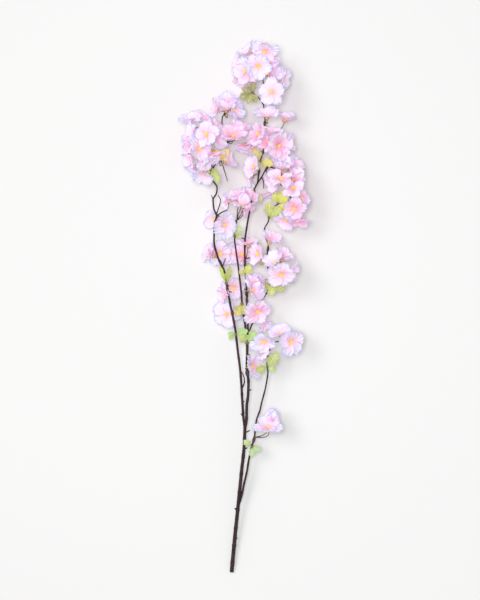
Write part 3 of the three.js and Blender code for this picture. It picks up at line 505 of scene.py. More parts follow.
# Blooms
bloomShape = {
    "petals": 5, "unevenness": 12,
    "sideView": 45,  # a bloom that faces up more steeply than this takes its bearings from +X
    "bends": [0, 8, -8, 16, -16, 24, -24, 32, -32, 40, -40, 48, 56],  # tried, to pass clear
    # Where a petal is compared with the solid's, the distance that counts as missing it, and how
    # much nearer a further bend has to come to be taken.
    "probeBearings": (-15, 0, 15), "probeReaches": (0.55, 0.72, 0.86), "probeMiss": 3, "probeGain": 0.01,
}
petalShape = {
    "rows": 15, "columns": 19, "rowBias": 0.85, "columnBias": 0.9, "halfThickness": 0.2,
    "lowest": 0.4,  # height that a petal keeps above the surface
    "reach": 1.04, "reachSpread": 0.1, "turnSpread": 4, "traitSpread": 0.5,
    "claw": 0.05, "width": 0.42, "fullAt": 0.62,  # half widths as shares of the bloom's radius
    "narrowing": 0.12, "widthSpread": 0.3, "flank": 0.016, "flankWaves": 15, "flankPower": 4,
    # How the rim is rounded, notched and frayed.
    "drop": 0.27, "dropPower": 2.6, "notch": 0.04, "cleftWidth": 0.16, "cleftShift": 0.3,
    "jag": 0.028, "jags": [(1, 11, 0), (0.6, 23, 0)],
    # Hollow along, hollow across, fold on the middle line.
    "bowl": 0.03, "spoon": 0.10, "spoonStart": 0.1, "spoonSpan": 0.8, "crease": 0.03, "creasePower": 1.2,
    "ruffle": 0.088, "rufflePower": 2.4, "ruffleMiddle": 0.35, "ruffles": [(0.8, 4.4, 0), (0.5, 9.5, 2)],
    "sway": [(0.5, 0, 8)],
    "pleat": 0.027, "pleatWaves": 13, "pleatSway": 1.5, "pleatSwayWaves": 4,
    "curl": 0.24, "curlLeast": 0.75, "curlFrom": 0.6, "overlap": 0.06, "overlapEnd": 1.4, "twist": 15,
    # Steeper at the base and flatter at the rim, in degrees, with some rims nodding.
    "throat": 30, "throatReach": 0.3, "flare": 9, "nod": 30, "nodRange": (-0.6, 1), "cupReach": 0.25,
    "arcSteps": 40,
    "blushFront": 0.62, "blushSide": 1.15,  # how far out the throat's pink runs
}


# The throat and axis of a bloom, and two unit vectors square to the axis.
def bloomFrame(bloom):
    x, y, z, plan, elevation = bloom[:5]
    axis = direction(plan, elevation)
    first, second = across(axis, elevation < bloomShape["sideView"])
    return np.array([x, y, z], float), axis, first, second


def outward(frameOfBloom, bearing):
    _, _, first, second = frameOfBloom
    return turned(first, second, math.radians(bearing))


# The lift at which the solid's petal lies: the one of its possible bends that fits it best.
def petalLift(bloom, k, seed, tree):
    shape = bloomShape
    throat, axis, _, _ = ownFrame = bloomFrame(bloom)
    radius, cup, turn = bloom[5:]
    middle = turn + 360 / shape["petals"] * k
    own = cup + shape["unevenness"] * uneven(seed + k)
    best = None
    for bend in shape["bends"]:
        lift = math.radians(own + bend)
        far = 0
        for bearing in shape["probeBearings"]:
            for reach in shape["probeReaches"]:
                out = turned(outward(ownFrame, middle + bearing), axis, lift)
                point = throat + out * reach * radius
                distance = tree.find_nearest(Vector(inFrame(point)))[3] * 1000
                far += min(distance, shape["probeMiss"])
        if best is None or far < best[0] - shape["probeGain"]:
            best = (far, own + bend)
    return best[1]


def addPetal(heap, bloom, k, lift, draw, tone):
    shape = petalShape
    throat, axis, _, _ = ownFrame = bloomFrame(bloom)
    elevation, radius, cup, turn = bloom[4:]
    radius = radius * (shape["reach"] + shape["reachSpread"] * draw.uniform(-1, 1))
    middle = turn + 360 / bloomShape["petals"] * k + shape["turnSpread"] * draw.uniform(-1, 1)
    out = outward(ownFrame, middle)
    side = outward(ownFrame, middle + 90)
    starts = waveStarts(draw, 8)
    own = 1 + shape["traitSpread"] * draw.uniform(-1, 1, 10)
    notch, cleft, width, bowl, spoon, crease, ruffle, curl, _, pleat = own

    # The outline, as shares of the radius: how far out each point lies, and how far to the side.
    v = (np.linspace(0, 1, shape["rows"]) ** shape["rowBias"])[:, None]
    s = np.linspace(-1, 1, shape["columns"])[None, :]
    s = np.sign(s) * np.abs(s) ** shape["columnBias"]
    cleftLine = hump(s, shape["cleftShift"] * (cleft - 1), shape["cleftWidth"])
    end = 1 - shape["drop"] * np.abs(s) ** shape["dropPower"] - shape["notch"] * notch * cleftLine
    end = end + shape["jag"] * rippled(shape["jags"], starts[0:2], s, v)
    long = v * end
    swell = smoothStep(0, shape["fullAt"], v) - shape["narrowing"] * smoothStep(shape["fullAt"], 1, v)
    halfWidth = shape["claw"] + shape["width"] * (1 + shape["widthSpread"] * (width - 1)) * swell
    edge = np.sign(s) * np.abs(s) ** shape["flankPower"]
    wide = s * halfWidth + shape["flank"] * v * np.sin(shape["flankWaves"] * v + starts[2]) * edge

    # The relief across the sheet.
    up = -shape["bowl"] * bowl * np.sin(math.pi * v)
    hollow = np.sin(math.pi * (shape["spoonStart"] + shape["spoonSpan"] * v))
    up = up + shape["spoon"] * spoon * s**2 * hollow
    up = up - shape["crease"] * crease * cleftLine * v ** shape["creasePower"]
    frill = rippled(shape["ruffles"], starts[3:5], s, v) + rippled(shape["sway"], starts[5:6], s, v) * s
    frill = frill * (shape["ruffleMiddle"] + (1 - shape["ruffleMiddle"]) * np.abs(s))
    up = up + shape["ruffle"] * ruffle * v ** shape["rufflePower"] * frill
    sway = shape["pleatSway"] * np.sin(shape["pleatSwayWaves"] * v + starts[7])
    up = up + shape["pleat"] * pleat * v * np.sin(shape["pleatWaves"] * s + starts[6] + sway)
    outer = np.clip(v - shape["curlFrom"], 0, 1) / (1 - shape["curlFrom"])
    up = up - shape["curl"] * (curl - shape["curlLeast"]) * outer**2
    up = up + shape["overlap"] * s * np.sin(math.pi * np.clip(shape["overlapEnd"] * v, 0, 1))
    up = up + wide * math.tan(math.radians(shape["twist"] * draw.uniform(-1, 1))) * v

    # The petal rises steeply from the throat and then opens outward.
    count = shape["arcSteps"]
    steps = np.linspace(0, 1, count + 1)
    bend = shape["throat"] * (1 - smoothStep(0, shape["throatReach"], steps)) - shape["flare"] * steps
    bend = bend + shape["nod"] * draw.uniform(*shape["nodRange"]) * steps**2
    angles = np.radians(lift + (cup - lift) * np.clip(1 - steps / shape["cupReach"], 0, 1) + bend)
    flat, high = [
        np.interp(long, steps, np.concatenate([[0], np.cumsum(part(angles[1:]) / count)]))
        for part in (np.cos, np.sin)
    ]
    tilt = math.radians(lift)
    flat = (flat - math.sin(tilt) * up) * radius
    high = (high + math.cos(tilt) * up) * radius
    sheet = throat + out * flat[..., None] + axis * high[..., None] + side * (wide * radius)[..., None]
    thick = turned(axis, -out, tilt)
    facing = max(0, math.sin(math.radians(elevation)))
    blush = shape["blushSide"] + (shape["blushFront"] - shape["blushSide"]) * facing
    heap.sheet(sheet, thick, shape["halfThickness"], s, v**blush, tone, lowest=shape["lowest"])


# Stamens: a disc, a style with its bead, and a ring of threads with an anther on each
heartShape = {
    "discRadius": 2.3, "discHeight": 1.3, "discRows": 4, "discSides": 10, "discSink": 0.3,
    "discClosing": 0.96,  # how nearly the disc's dome closes at its top
    "styleLength": 7.2, "styleRadius": 0.34, "styleKnee": 3.5, "styleSides": 5,
    "stigmaLength": 1.1, "stigmaRadius": 0.6,
    "threads": 19, "threadRadius": 0.22, "threadSides": 4, "threadLength": (4.2, 7.2), "lean": (4, 46),
    "turnStep": 137.5, "turnSpread": 25, "rootOut": 0.4, "rootSpread": 1.1, "rootRise": 0.5,
    # The two parts of a thread, as shares of its length and lean, and how its knee is rounded.
    "parts": [(0.55, 0.5), (0.5, 1.4)], "kneeWeights": (0.2, 0.65, 0.15),
    "antherLength": 1.7, "antherRadius": 0.78, "antherTilt": 0.4,
    "beadRows": 4, "beadSides": 6, "beadPoint": 0.12,
    # The tones by which the material tells them apart.
    "discTone": 0.25, "styleTone": 0.1, "stigmaTone": 0.15, "threadTone": 0.45, "antherTone": 1.0,
}


def addBead(heap, centre, along, length, radius, tone):
    rows, point = heartShape["beadRows"], heartShape["beadPoint"]
    line = [centre + along * length * (i / rows - 0.5) for i in range(rows + 1)]
    radii = [radius * max(point, math.sin(math.pi * i / rows)) for i in range(rows + 1)]
    heap.tube(line, radii, heartShape["beadSides"], tone)


def addHeart(heap, bloom, draw):
    shape = heartShape
    throat, axis, first, second = bloomFrame(bloom)
    rows = shape["discRows"]
    turns = [math.pi / 2 * i / rows for i in range(rows + 1)]
    line = [throat + axis * (shape["discHeight"] * math.sin(turn) - shape["discSink"]) for turn in turns]
    radii = [shape["discRadius"] * math.cos(turn * shape["discClosing"]) for turn in turns]
    heap.tube(line, radii, shape["discSides"], shape["discTone"])
    tip = throat + axis * shape["styleLength"]
    line = [throat, throat + axis * shape["styleKnee"], tip]
    heap.tube(line, [shape["styleRadius"]] * 3, shape["styleSides"], shape["styleTone"])
    addBead(heap, tip, axis, shape["stigmaLength"], shape["stigmaRadius"], shape["stigmaTone"])
    least, most = shape["lean"]
    for i in range(shape["threads"]):
        turn = math.radians(shape["turnStep"] * i + shape["turnSpread"] * draw.uniform(-1, 1))
        share = (i + 0.5) / shape["threads"]
        lean = math.radians(least + (most - least) * share)
        length = draw.uniform(*shape["threadLength"])
        out = turned(first, second, turn)
        line = [throat + out * (shape["rootOut"] + shape["rootSpread"] * share) + axis * shape["rootRise"]]
        for part, bend in shape["parts"]:
            line.append(line[-1] + turned(axis, out, lean * bend) * length * part)
        line[1] = sum(point * weight for point, weight in zip(line, shape["kneeWeights"]))
        heap.tube(line, [shape["threadRadius"]] * 3, shape["threadSides"], shape["threadTone"])
        along = unit(out + axis * shape["antherTilt"])
        addBead(heap, line[2], along, shape["antherLength"], shape["antherRadius"], shape["antherTone"])


# Stalks, with the calyx and its sepals at the head of each
stalkShape = {
    "radius": 0.8, "sides": 8, "step": 2.5, "steps": 4, "bend": 18, "rootDepth": 1,
    "lowest": 1.5,  # height that a stalk's bend keeps above the surface
    "rootSwell": 1.5, "rootSpan": 3, "tones": (0.0, 0.45),
    # The calyx: reach along the axis and radius.
    "calyx": [(-0.2, 0.9), (1, 1.1), (2.4, 1.5), (4.4, 1.75), (6.4, 1.8), (8, 2.1), (8.9, 2.1)],
    "calyxLength": 9, "calyxSides": 10, "calyxTones": (0.55, 0.85),
    "sepals": 5, "sepalRows": 5, "sepalLength": 5.5, "sepalWidth": 2.0, "sepalHalfThickness": 0.25,
    "sepalLean": 0.6, "sepalTaper": 0.6, "sepalRoot": 0.75, "sepalBulge": 0.9, "sepalTip": 0.15,
    "sepalSink": 1.0, "sepalFold": 0.5, "sepalOut": 1.6, "sepalTone": 0.95,
    # The bunch's own stalk: thinner than the solid's, and swollen where it grips a twig.
    "jointSides": 10, "jointSteps": 6, "jointShare": 0.86, "jointTaper": 0.2,
    "gripRadius": 2.5, "gripSteps": 6, "gripShare": 0.62, "gripSwell": 0.34, "gripArc": (0.08, 0.84),
}


# Where a bloom's stalk runs, from its root in the bunch's own stalk to the foot of its calyx.
def bloomStalk(throat, axis, stalk):
    shape = stalkShape
    base = throat - axis * shape["calyxLength"]
    joints = []
    for i, (x, y, z, radius) in enumerate(stalk):
        before, after = stalk[max(0, i - 1)], stalk[min(len(stalk) - 1, i + 1)]
        along = unit(np.subtract(after[:3], before[:3]))
        joints.append((np.array([x, y, z], float), along, radius))
    at, along, radius = min(joints, key=lambda joint: np.linalg.norm(joint[0] - base))
    out = base - at
    out = unit(out - along * out.dot(along))
    root = at + out * (radius - shape["rootDepth"])
    reach = np.linalg.norm(root - base)
    bend = base - axis * min(shape["bend"], reach / 2)
    bend[2] = max(bend[2], shape["lowest"])
    steps = max(shape["steps"], int(reach / shape["step"]))
    shares = [i / steps for i in range(steps + 1)]
    return [root * (1 - t) ** 2 + bend * 2 * t * (1 - t) + base * t**2 for t in shares]


def addStalk(heap, bloom, stalk):
    shape = stalkShape
    throat, axis, _, _ = ownFrame = bloomFrame(bloom)
    cup, turn = bloom[6:]
    line = bloomStalk(throat, axis, stalk)
    count = len(line)
    swell = shape["rootSwell"]
    shares = [min(1, shape["rootSpan"] * i / count) for i in range(count)]
    radii = [shape["radius"] * (swell - (swell - 1) * share) for share in shares]
    heap.tube(line, radii, shape["sides"], np.linspace(*shape["tones"], count))
    # The calyx is a small cup that opens from the stalk to the throat.
    reaches, radii = zip(*shape["calyx"])
    tones = np.linspace(*shape["calyxTones"], len(reaches))
    heap.tube([line[-1] + axis * reach for reach in reaches], radii, shape["calyxSides"], tones)
    lean = math.radians(cup) * shape["sepalLean"]
    v = np.linspace(0, 1, shape["sepalRows"])[:, None]
    s = np.array([[-1, 0, 1]])
    bulge = shape["sepalRoot"] + shape["sepalBulge"] * v * (1 - v)
    width = np.maximum(shape["sepalWidth"] * (1 - v) ** shape["sepalTaper"] * bulge, shape["sepalTip"])
    sink = (shape["sepalSink"] + shape["sepalFold"] * np.abs(s))[..., None]
    for k in range(shape["sepals"]):
        bearing = turn + 360 / shape["sepals"] * (k + 0.5)
        out = outward(ownFrame, bearing)
        side = outward(ownFrame, bearing + 90)
        along, thick = turned(out, axis, lean), turned(axis, -out, lean)
        sheet = throat - axis * sink + out * shape["sepalOut"]
        sheet = sheet + along * (shape["sepalLength"] * v)[..., None] + side * (s * width)[..., None]
        heap.sheet(sheet, thick, shape["sepalHalfThickness"], s, v, shape["sepalTone"])


# The bunch's own stalk, along which the stalks of its blooms are rooted.
def addJoint(heap, stalk):
    shape = stalkShape
    stalk = np.asarray(stalk, float)
    steps = shape["jointSteps"]
    rings = [
        stalk[i] * (1 - t / steps) + stalk[i + 1] * (t / steps)
        for i in range(len(stalk) - 1)
        for t in range(steps)
    ]
    rings = np.array(rings + [stalk[-1]])
    sizes = rings[:, 3]
    total = len(rings) - 1
    grips = shape["gripSteps"]
    start, span = shape["gripArc"]
    for i in range(total + 1):
        if stalk[0][3] > shape["gripRadius"] and i <= grips:
            swell = shape["gripSwell"] * math.sin(math.pi * (start + span * i / grips))
            sizes[i] *= shape["gripShare"] + swell
        else:
            sizes[i] *= shape["jointShare"] - shape["jointTaper"] * i / total
    heap.tube(rings[:, :3], sizes, shape["jointSides"])


# Leaves
leafShape = {
    "rows": 33, "columns": 15, "halfThickness": 0.2,
    "lowest": 0.4,  # height that a leaf keeps above the surface
    "width": 0.76, "fold": 0.12, "arch": 0.14, "twist": 9,
    # The lobed outline: share of the length, and half width there.
    "outline": [[0, 0.1], [0.06, 0.12], [0.16, 0.34], [0.27, 0.76], [0.37, 1.0], [0.43, 0.92],
        [0.5, 0.58], [0.54, 0.55], [0.63, 0.72], [0.72, 0.76], [0.79, 0.64], [0.85, 0.42],
        [0.92, 0.3], [1, 0.04]],
    "teeth": 0.3, "toothCount": 11, "toothMiddle": 0.4,
    "sweep": 0.1, "sweepPower": 1.5,  # how the lobes point forward
    "wave": 0.025, "longWaves": [(1, 2, 9)], "crossWaves": [(0.5, 0, 17)],
    # The sunken veins: pairs that run forward from a groove along the middle.
    "vein": 0.007, "veinPairs": 5, "veinReach": 1.15, "veinSlant": 0.42, "veinEdge": 0.75,
    "groove": 0.02, "grooveWidth": 0.1, "grooveFade": 0.6,
    "shadeSpread": 0.07,
    # The scaly foot that grips the twig, and the stalk of each leaf.
    "footLength": 7, "footSteps": 8, "footSides": 10, "footShare": 0.55, "footSwell": 0.33,
    "footTint": (0.42, 0.36, 0.24), "tone": 0.5,
    "rootReach": 0.6, "rootTurn": 0.7, "stalkReach": 0.12, "stalkRise": 0.02,
    "stalkRadii": (1.1, 0.9, 0.5), "stalkSides": 6, "stalkShade": 0.8,
}


def addLeaf(heap, root, blade, draw, tint):
    shape = leafShape
    plan, elevation, length, *own = blade
    share = own[0] if own else shape["width"]
    along, side = direction(plan, elevation), direction(plan + 90, 0)
    thick = np.cross(along, side)
    width = share * length / 2
    v = np.linspace(0, 1, shape["rows"])[:, None]
    s = np.linspace(-1, 1, shape["columns"])[None, :]
    reaches, spans = zip(*shape["outline"])
    saw = (v * shape["toothCount"] + draw.uniform(0, 1)) % 1 - shape["toothMiddle"]
    toothed = smoothStep(0.1, 0.3, v) * smoothStep(1.0, 0.85, v)
    outline = np.interp(v, reaches, spans) + shape["teeth"] * saw * toothed
    span = s * outline
    reach = v + shape["sweep"] * np.abs(span) ** shape["sweepPower"] * smoothStep(1.05, 0.4, v)
    starts = waveStarts(draw, 3)
    rise = shape["arch"] * length * np.sin(math.pi * v) + shape["fold"] * width * np.abs(span)
    ripple = rippled(shape["longWaves"], starts[0:1], s, v) * s**2
    ripple = ripple + rippled(shape["crossWaves"], starts[1:2], s, v) * s
    rise = rise + shape["wave"] * length * ripple * outline
    lines = (v * shape["veinReach"] - shape["veinSlant"] * np.abs(span)) * shape["veinPairs"]
    sunken = smoothStep(shape["veinEdge"], 1, np.abs(lines % 1 - 0.5) * 2)
    rise = rise - shape["vein"] * length * sunken * (1 - np.abs(s)) ** 0.5
    middleLine = hump(s, 0, shape["grooveWidth"]) * (1 - shape["grooveFade"] * v)
    rise = rise - shape["groove"] * length * middleLine
    twist = math.tan(math.radians(shape["twist"] * draw.uniform(-1, 1)))
    rise = rise + span * width * twist * v
    sheet = root + along * (reach * length)[..., None] + side * (span * width)[..., None]
    sheet = sheet + thick * rise[..., None]
    shade = tuple(min(1, c * (1 + shape["shadeSpread"] * draw.uniform(-1, 1))) for c in tint)
    half, lowest = shape["halfThickness"], shape["lowest"]
    heap.sheet(sheet, thick, half, s, v, draw.uniform(0, 1), shade, lowest)


def addTuft(heap, tuft, draw):
    shape = leafShape
    tint, (x, y, *lift), bearing, radius, blades = tuft
    middle = np.array([x, y, lieHeight(y) + sum(lift)])
    line = direction(bearing, 0)
    shares = [i / shape["footSteps"] for i in range(shape["footSteps"] + 1)]
    foot = [middle + line * (share - 0.5) * shape["footLength"] for share in shares]
    swells = [shape["footShare"] + shape["footSwell"] * math.sin(math.pi * share) for share in shares]
    radii = [radius * swell for swell in swells]
    heap.tube(foot, radii, shape["footSides"], shape["tone"], shape["footTint"])
    for blade in blades:
        plan, elevation, length = blade[:3]
        along = direction(plan, elevation)
        out = unit(along - line * shape["rootTurn"] * along.dot(line))
        root = middle + out * radius * shape["rootReach"]
        addLeaf(heap, root, blade, draw, tint)
        tip = root + along * length * shape["stalkReach"] + np.array([0, 0, shape["stalkRise"] * length])
        shade = tuple(shape["stalkShade"] * c for c in tint)
        heap.tube([middle, root, tip], shape["stalkRadii"], shape["stalkSides"], shape["tone"], shade)


# Bark
barkShape = {
    "sides": 14, "step": 3.0, "slope": 0.35,
    "knot": 0.16, "knotEvery": 37, "knotShift": 11, "knotWidth": 2.6, "toneRadius": 4,
    # Noise about the stem, and low ridges that run along it.
    "rough": 0.07, "roughAlong": 0.12, "roughAround": 1.3, "roughScale": 2.6,
    "ridge": 0.05, "ridgeAround": 2.4, "ridgeAlong": 0.02,
    "nubRise": 20, "nubTaper": 0.55, "nubSteps": 7, "nubSides": 10, "nubLift": 0.06, "nubTone": 0.35,
    "nubSwell": 0.25, "nubSwellAt": 0.72, "nubSwellWidth": 0.16, "nubTip": 0.55,
}


# The smooth line through a stem's points, with its radius, a point about every step.
def stemLine(start, end, plan):
    points = [np.array([x, y, lieHeight(y) + sum(lift)]) for x, y, *lift in plan]
    last = len(points) - 1
    line, radii = [], []
    for i in range(last):
        before, a, b, after = points[max(i - 1, 0)], points[i], points[i + 1], points[min(i + 2, last)]
        steps = max(2, round(np.linalg.norm(b - a) / barkShape["step"]))
        slopeA, slopeB = (b - before) * barkShape["slope"], (after - a) * barkShape["slope"]
        for k in range(steps + (i == last - 1)):
            t = k / steps
            h = (2 * t**3 - 3 * t**2 + 1, t**3 - 2 * t**2 + t, -2 * t**3 + 3 * t**2, t**3 - t**2)
            line.append(a * h[0] + slopeA * h[1] + b * h[2] + slopeB * h[3])
            radii.append(start + (end - start) * (i + t) / last)
    return line, radii


# How far the bark stands out at a point, as a share of the stem's radius.
def barkRise(middle, out):
    shape = barkShape
    where = Vector(middle * shape["roughAlong"] + out * shape["roughAround"]) * shape["roughScale"]
    around = out * shape["ridgeAround"]
    ridge = noise.noise(Vector((around[0], middle[1] * shape["ridgeAlong"], around[2])))
    return 1 + noise.noise(where) * shape["rough"] + abs(ridge) * shape["ridge"]


def addBranch(heap):
    shape = barkShape
    every = shape["knotEvery"]
    for number, (start, end, plan) in enumerate(stems):
        line, radii = stemLine(start, end, plan)
        travelled = 0
        for i in range(1, len(line)):
            travelled += np.linalg.norm(line[i] - line[i - 1])
            near = (travelled + shape["knotShift"] * number) % every
            radii[i] *= 1 + shape["knot"] * hump(near, every / 2, shape["knotWidth"])
        heap.tube(line, radii, shape["sides"], min(1, start / shape["toneRadius"]), bark=barkRise)
    steps = shape["nubSteps"]
    for x, y, bearing, length, radius in nubs:
        root = np.array([x, y, lieHeight(y)])
        towards = direction(bearing, shape["nubRise"])
        line, radii = [], []
        for i in range(steps + 1):
            share = i / steps
            lift = np.array([0, 0, shape["nubLift"] * length * share**2])
            line.append(root + towards * length * share + lift)
            swell = 1 + shape["nubSwell"] * hump(share, shape["nubSwellAt"], shape["nubSwellWidth"])
            radii.append(radius * (1 - (1 - shape["nubTaper"]) * share) * swell)
        radii[-1] *= shape["nubTip"]
        heap.tube(line, radii, shape["nubSides"], shape["nubTone"], bark=barkRise)


# Materials: in each, a ramp or a spread turns a noise, a tone or a place into a share of a colour.
petalFinish = {
    "stops": [(0.0, (0.90, 0.30, 0.56)), (0.08, (0.96, 0.52, 0.76)), (0.18, (0.98, 0.72, 0.88)),
        (0.36, (0.99, 0.86, 0.94)), (0.65, (0.98, 0.915, 0.97)), (1.0, (0.92, 0.915, 0.99))],
    "drift": 0.34,  # how far the bands of the ramp wander
    "blush": (0.99, 0.64, 0.81), "blushShare": 0.66, "cool": (0.87, 0.895, 1.0), "coolShare": 0.8,
    "streak": (0.90, 0.38, 0.62), "streakShare": 0.7, "veins": 9.0, "veinSway": 12.0,
    # The darker lilac at the petals' edges is painted shade.
    "rim": (0.66, 0.60, 0.84), "rimShare": 0.7, "rimFray": 0.1,
    "bumpStreak": 0.4, "bumpWeave": 0.2, "bumpCrinkle": 1.2, "bumpStrength": 0.7, "bumpDepth": 0.0009,
    "roughness": 0.62, "specular": 0.25, "sheen": 0.12, "sheenRoughness": 0.5,
    # Painted glow: the petals give off a pinker copy of their colour. It stands in for light shining
    # through the thin cloth and lifts the shade between petals.
    "paintedGlow": 0.12, "paintedGlowTint": (0.98, 0.76, 0.88), "paintedGlowShare": 0.4,
}
fullTurn = 6.2832  # of the waves that draw veins and ribs


def petalMaterial():
    finish = petalFinish
    surface = Surface("petalCloth")
    side, reach = surface.place()
    tone = surface.tone()
    span = abs(side - 0.5) * 2.0
    drift = surface.grain(surface.spot(side * 2.6, reach * 1.8, tone * 37.0), 1.6, 3.0)
    colour = surface.ramp(reach + (drift - 0.5) * finish["drift"], finish["stops"])
    blush = surface.spread(tone, 0.45, 1.0, 0.0, finish["blushShare"])
    blush = blush * surface.spread(reach, 1.0, 0.3, 0.15, 1.0)
    colour = surface.mix(blush, colour, finish["blush"])
    cool = surface.spread(tone, 0.65, 0.0, 0.0, finish["coolShare"]) * surface.spread(reach, 0.3, 0.9)
    colour = surface.mix(cool, colour, finish["cool"])
    # Streaks fan out from the throat and fade towards the rim.
    wander = surface.grain(surface.spot(side * 3.0, reach * 4.0, tone * 11.0), 1.0, 3.0)
    fan = (side * finish["veins"] * fullTurn + (wander - 0.5) * finish["veinSway"]).sine()
    streak = surface.spread(fan, 0.2, 1.0) * surface.spread(reach, 0.85, 0.2, 0.06, 1.0)
    share = streak * surface.spread(drift, 0.35, 0.6, 0.2, finish["streakShare"])
    colour = surface.mix(share, colour, finish["streak"])
    # Painted shade: a darker lilac line along the tip and flanks of each petal, broken up by noise.
    edgeNoise = surface.grain(surface.spot(side * 9.0, reach * 9.0, tone * 5.0), 1.0, 2.0)
    edgeWander = (edgeNoise - 0.5) * finish["rimFray"]
    tip = surface.spread(reach + edgeWander, 0.9, 1.0)
    flank = surface.spread(span + edgeWander, 0.84, 1.0) * surface.spread(reach, 0.35, 0.6)
    share = tip.atLeast(flank) * surface.spread(drift, 0.4, 0.6, 0.18, finish["rimShare"])
    colour = surface.mix(share, colour, finish["rim"])
    weave = surface.grain(surface.spot(side * 90.0, reach * 120.0), 1.0, 2.0)
    crinkle = surface.grain(surface.spot(side * 12.0, reach * 8.0, tone * 23.0), 1.0, 4.0)
    height = streak * finish["bumpStreak"] + weave * finish["bumpWeave"] + crinkle * finish["bumpCrinkle"]
    return surface.finish(finish, colour, height, {
        # The painted glow's colour: the petal's colour pulled towards a pink tint.
        "Emission Color": surface.mix(finish["paintedGlowShare"], colour, finish["paintedGlowTint"]),
        "Sheen Weight": finish["sheen"],
        "Sheen Roughness": finish["sheenRoughness"],
    })


heartFinish = {
    # The disc's colour, then the threads' and the anthers', with the tones between which each comes in.
    "disc": (1.0, 0.92, 0.18),
    "layers": [(0.2, 0.45, (1.0, 0.95, 0.55)), (0.5, 1.0, (1.0, 0.92, 0.12))],
    "pollen": (0.97, 0.72, 0.10), "pollenScale": 1600.0, "pollenShare": 0.25,
    # Painted glow: the hearts give off light of their own yellow, so they stay bright.
    "roughness": 0.55, "specular": 0.3, "paintedGlow": 0.22, "bumpStrength": 0.5, "bumpDepth": 0.0003,
}


def heartMaterial():
    finish = heartFinish
    surface = Surface("pollenYellow")
    colour = surface.layers(surface.tone(), finish["disc"], finish["layers"])
    grains = surface.grain(surface.inObject(), finish["pollenScale"], 2.0)
    pollen = surface.spread(grains, 0.55, 0.8, 0.0, finish["pollenShare"])
    colour = surface.mix(pollen, colour, finish["pollen"])
    return surface.finish(finish, colour, grains)


stalkFinish = {
    # The bunch's own stalk, then the blooms' stalks, the calyx and the sepals.
    "wood": (0.34, 0.26, 0.25),
    "layers": [(0.05, 0.4, (0.50, 0.44, 0.33)), (0.5, 0.65, (0.78, 0.73, 0.42)),
        (0.75, 0.97, (0.80, 0.62, 0.54))],
    "speckle": (0.36, 0.22, 0.20), "speckleScale": 420.0, "speckleShare": 0.5,
    "ribs": 9.0, "ribSway": 3.0, "ribShare": 0.5,
    "roughness": 0.65, "specular": 0.3, "bumpStrength": 0.6, "bumpDepth": 0.0004,
}


def stalkMaterial():
    finish = stalkFinish
    surface = Surface("stalkAndCalyx")
    speckle = surface.grain(surface.inObject(), finish["speckleScale"], 3.0)
    side, _ = surface.place()
    ribs = (side * fullTurn * finish["ribs"] + speckle * finish["ribSway"]).sine()
    colour = surface.layers(surface.tone(), finish["wood"], finish["layers"])
    share = surface.spread(speckle, 0.52, 0.8, 0.0, finish["speckleShare"])
    colour = surface.mix(share, colour, finish["speckle"])
    return surface.finish(finish, colour, ribs * finish["ribShare"] + speckle)


leafFinish = {
    "shadow": (0.58, 0.60, 0.30), "shadowShare": 0.45,
    "vein": (0.94, 0.94, 0.68), "veinShare": 0.75, "lateralShare": 0.6,
    # The side veins: how many, how they slant forward, and how they sway.
    "veins": 5.0, "veinReach": 1.15, "veinSlant": 0.24, "veinSway": 1.2,
    "edge": (0.58, 0.55, 0.26), "edgeShare": 0.5,
    "bumpVein": -0.8, "bumpFine": 0.3, "bumpMottle": 0.5, "bumpStrength": 0.5, "bumpDepth": 0.0005,
    # A faint painted glow in the leaves' own colour.
    "roughness": 0.55, "specular": 0.3, "paintedGlow": 0.04,
}


def leafMaterial():
    finish = leafFinish
    surface = Surface("leafCloth")
    side, along = surface.place()
    tone = surface.tone()
    span = abs(side - 0.5) * 2.0
    mottle = surface.grain(surface.spot(side * 4.0, along * 7.0, tone * 31.0), 1.3, 4.0)
    shadow = surface.spread(mottle, 0.42, 0.75, 0.0, finish["shadowShare"])
    colour = surface.mix(shadow, surface.tint(), finish["shadow"])
    slanted = along * finish["veinReach"] - span * finish["veinSlant"]
    sway = (mottle - 0.5) * finish["veinSway"]
    lateral = surface.spread((slanted * finish["veins"] * fullTurn + sway).sine(), 0.86, 1.0)
    lateral = lateral * surface.spread(span, 1.0, 0.75)
    veins = (lateral * finish["lateralShare"]).atLeast(surface.spread(span, 0.1, 0.03))
    colour = surface.mix(veins * finish["veinShare"], colour, finish["vein"])
    edge = surface.spread(span, 0.86, 1.0, 0.0, finish["edgeShare"]) * mottle
    colour = surface.mix(edge, colour, finish["edge"])
    fine = surface.grain(surface.spot(side * 60.0, along * 90.0), 1.0, 2.0)
    height = veins * finish["bumpVein"] + fine * finish["bumpFine"] + mottle * finish["bumpMottle"]
    return surface.finish(finish, colour, height)


barkFinish = {
    "dark": (0.15, 0.09, 0.11), "mid": (0.27, 0.17, 0.19), "patchScale": 60.0,
    "grey": (0.45, 0.37, 0.39), "greyOnThick": 0.18, "greyOnThin": 0.65,
    "lenticel": (0.58, 0.48, 0.44), "lenticelShare": 0.4,
    "bumpFibre": 0.8, "bumpPatch": 0.6, "bumpLenticel": 0.6, "bumpStrength": 0.9, "bumpDepth": 0.0009,
    "roughness": (0.5, 0.82), "specular": 0.35,
}


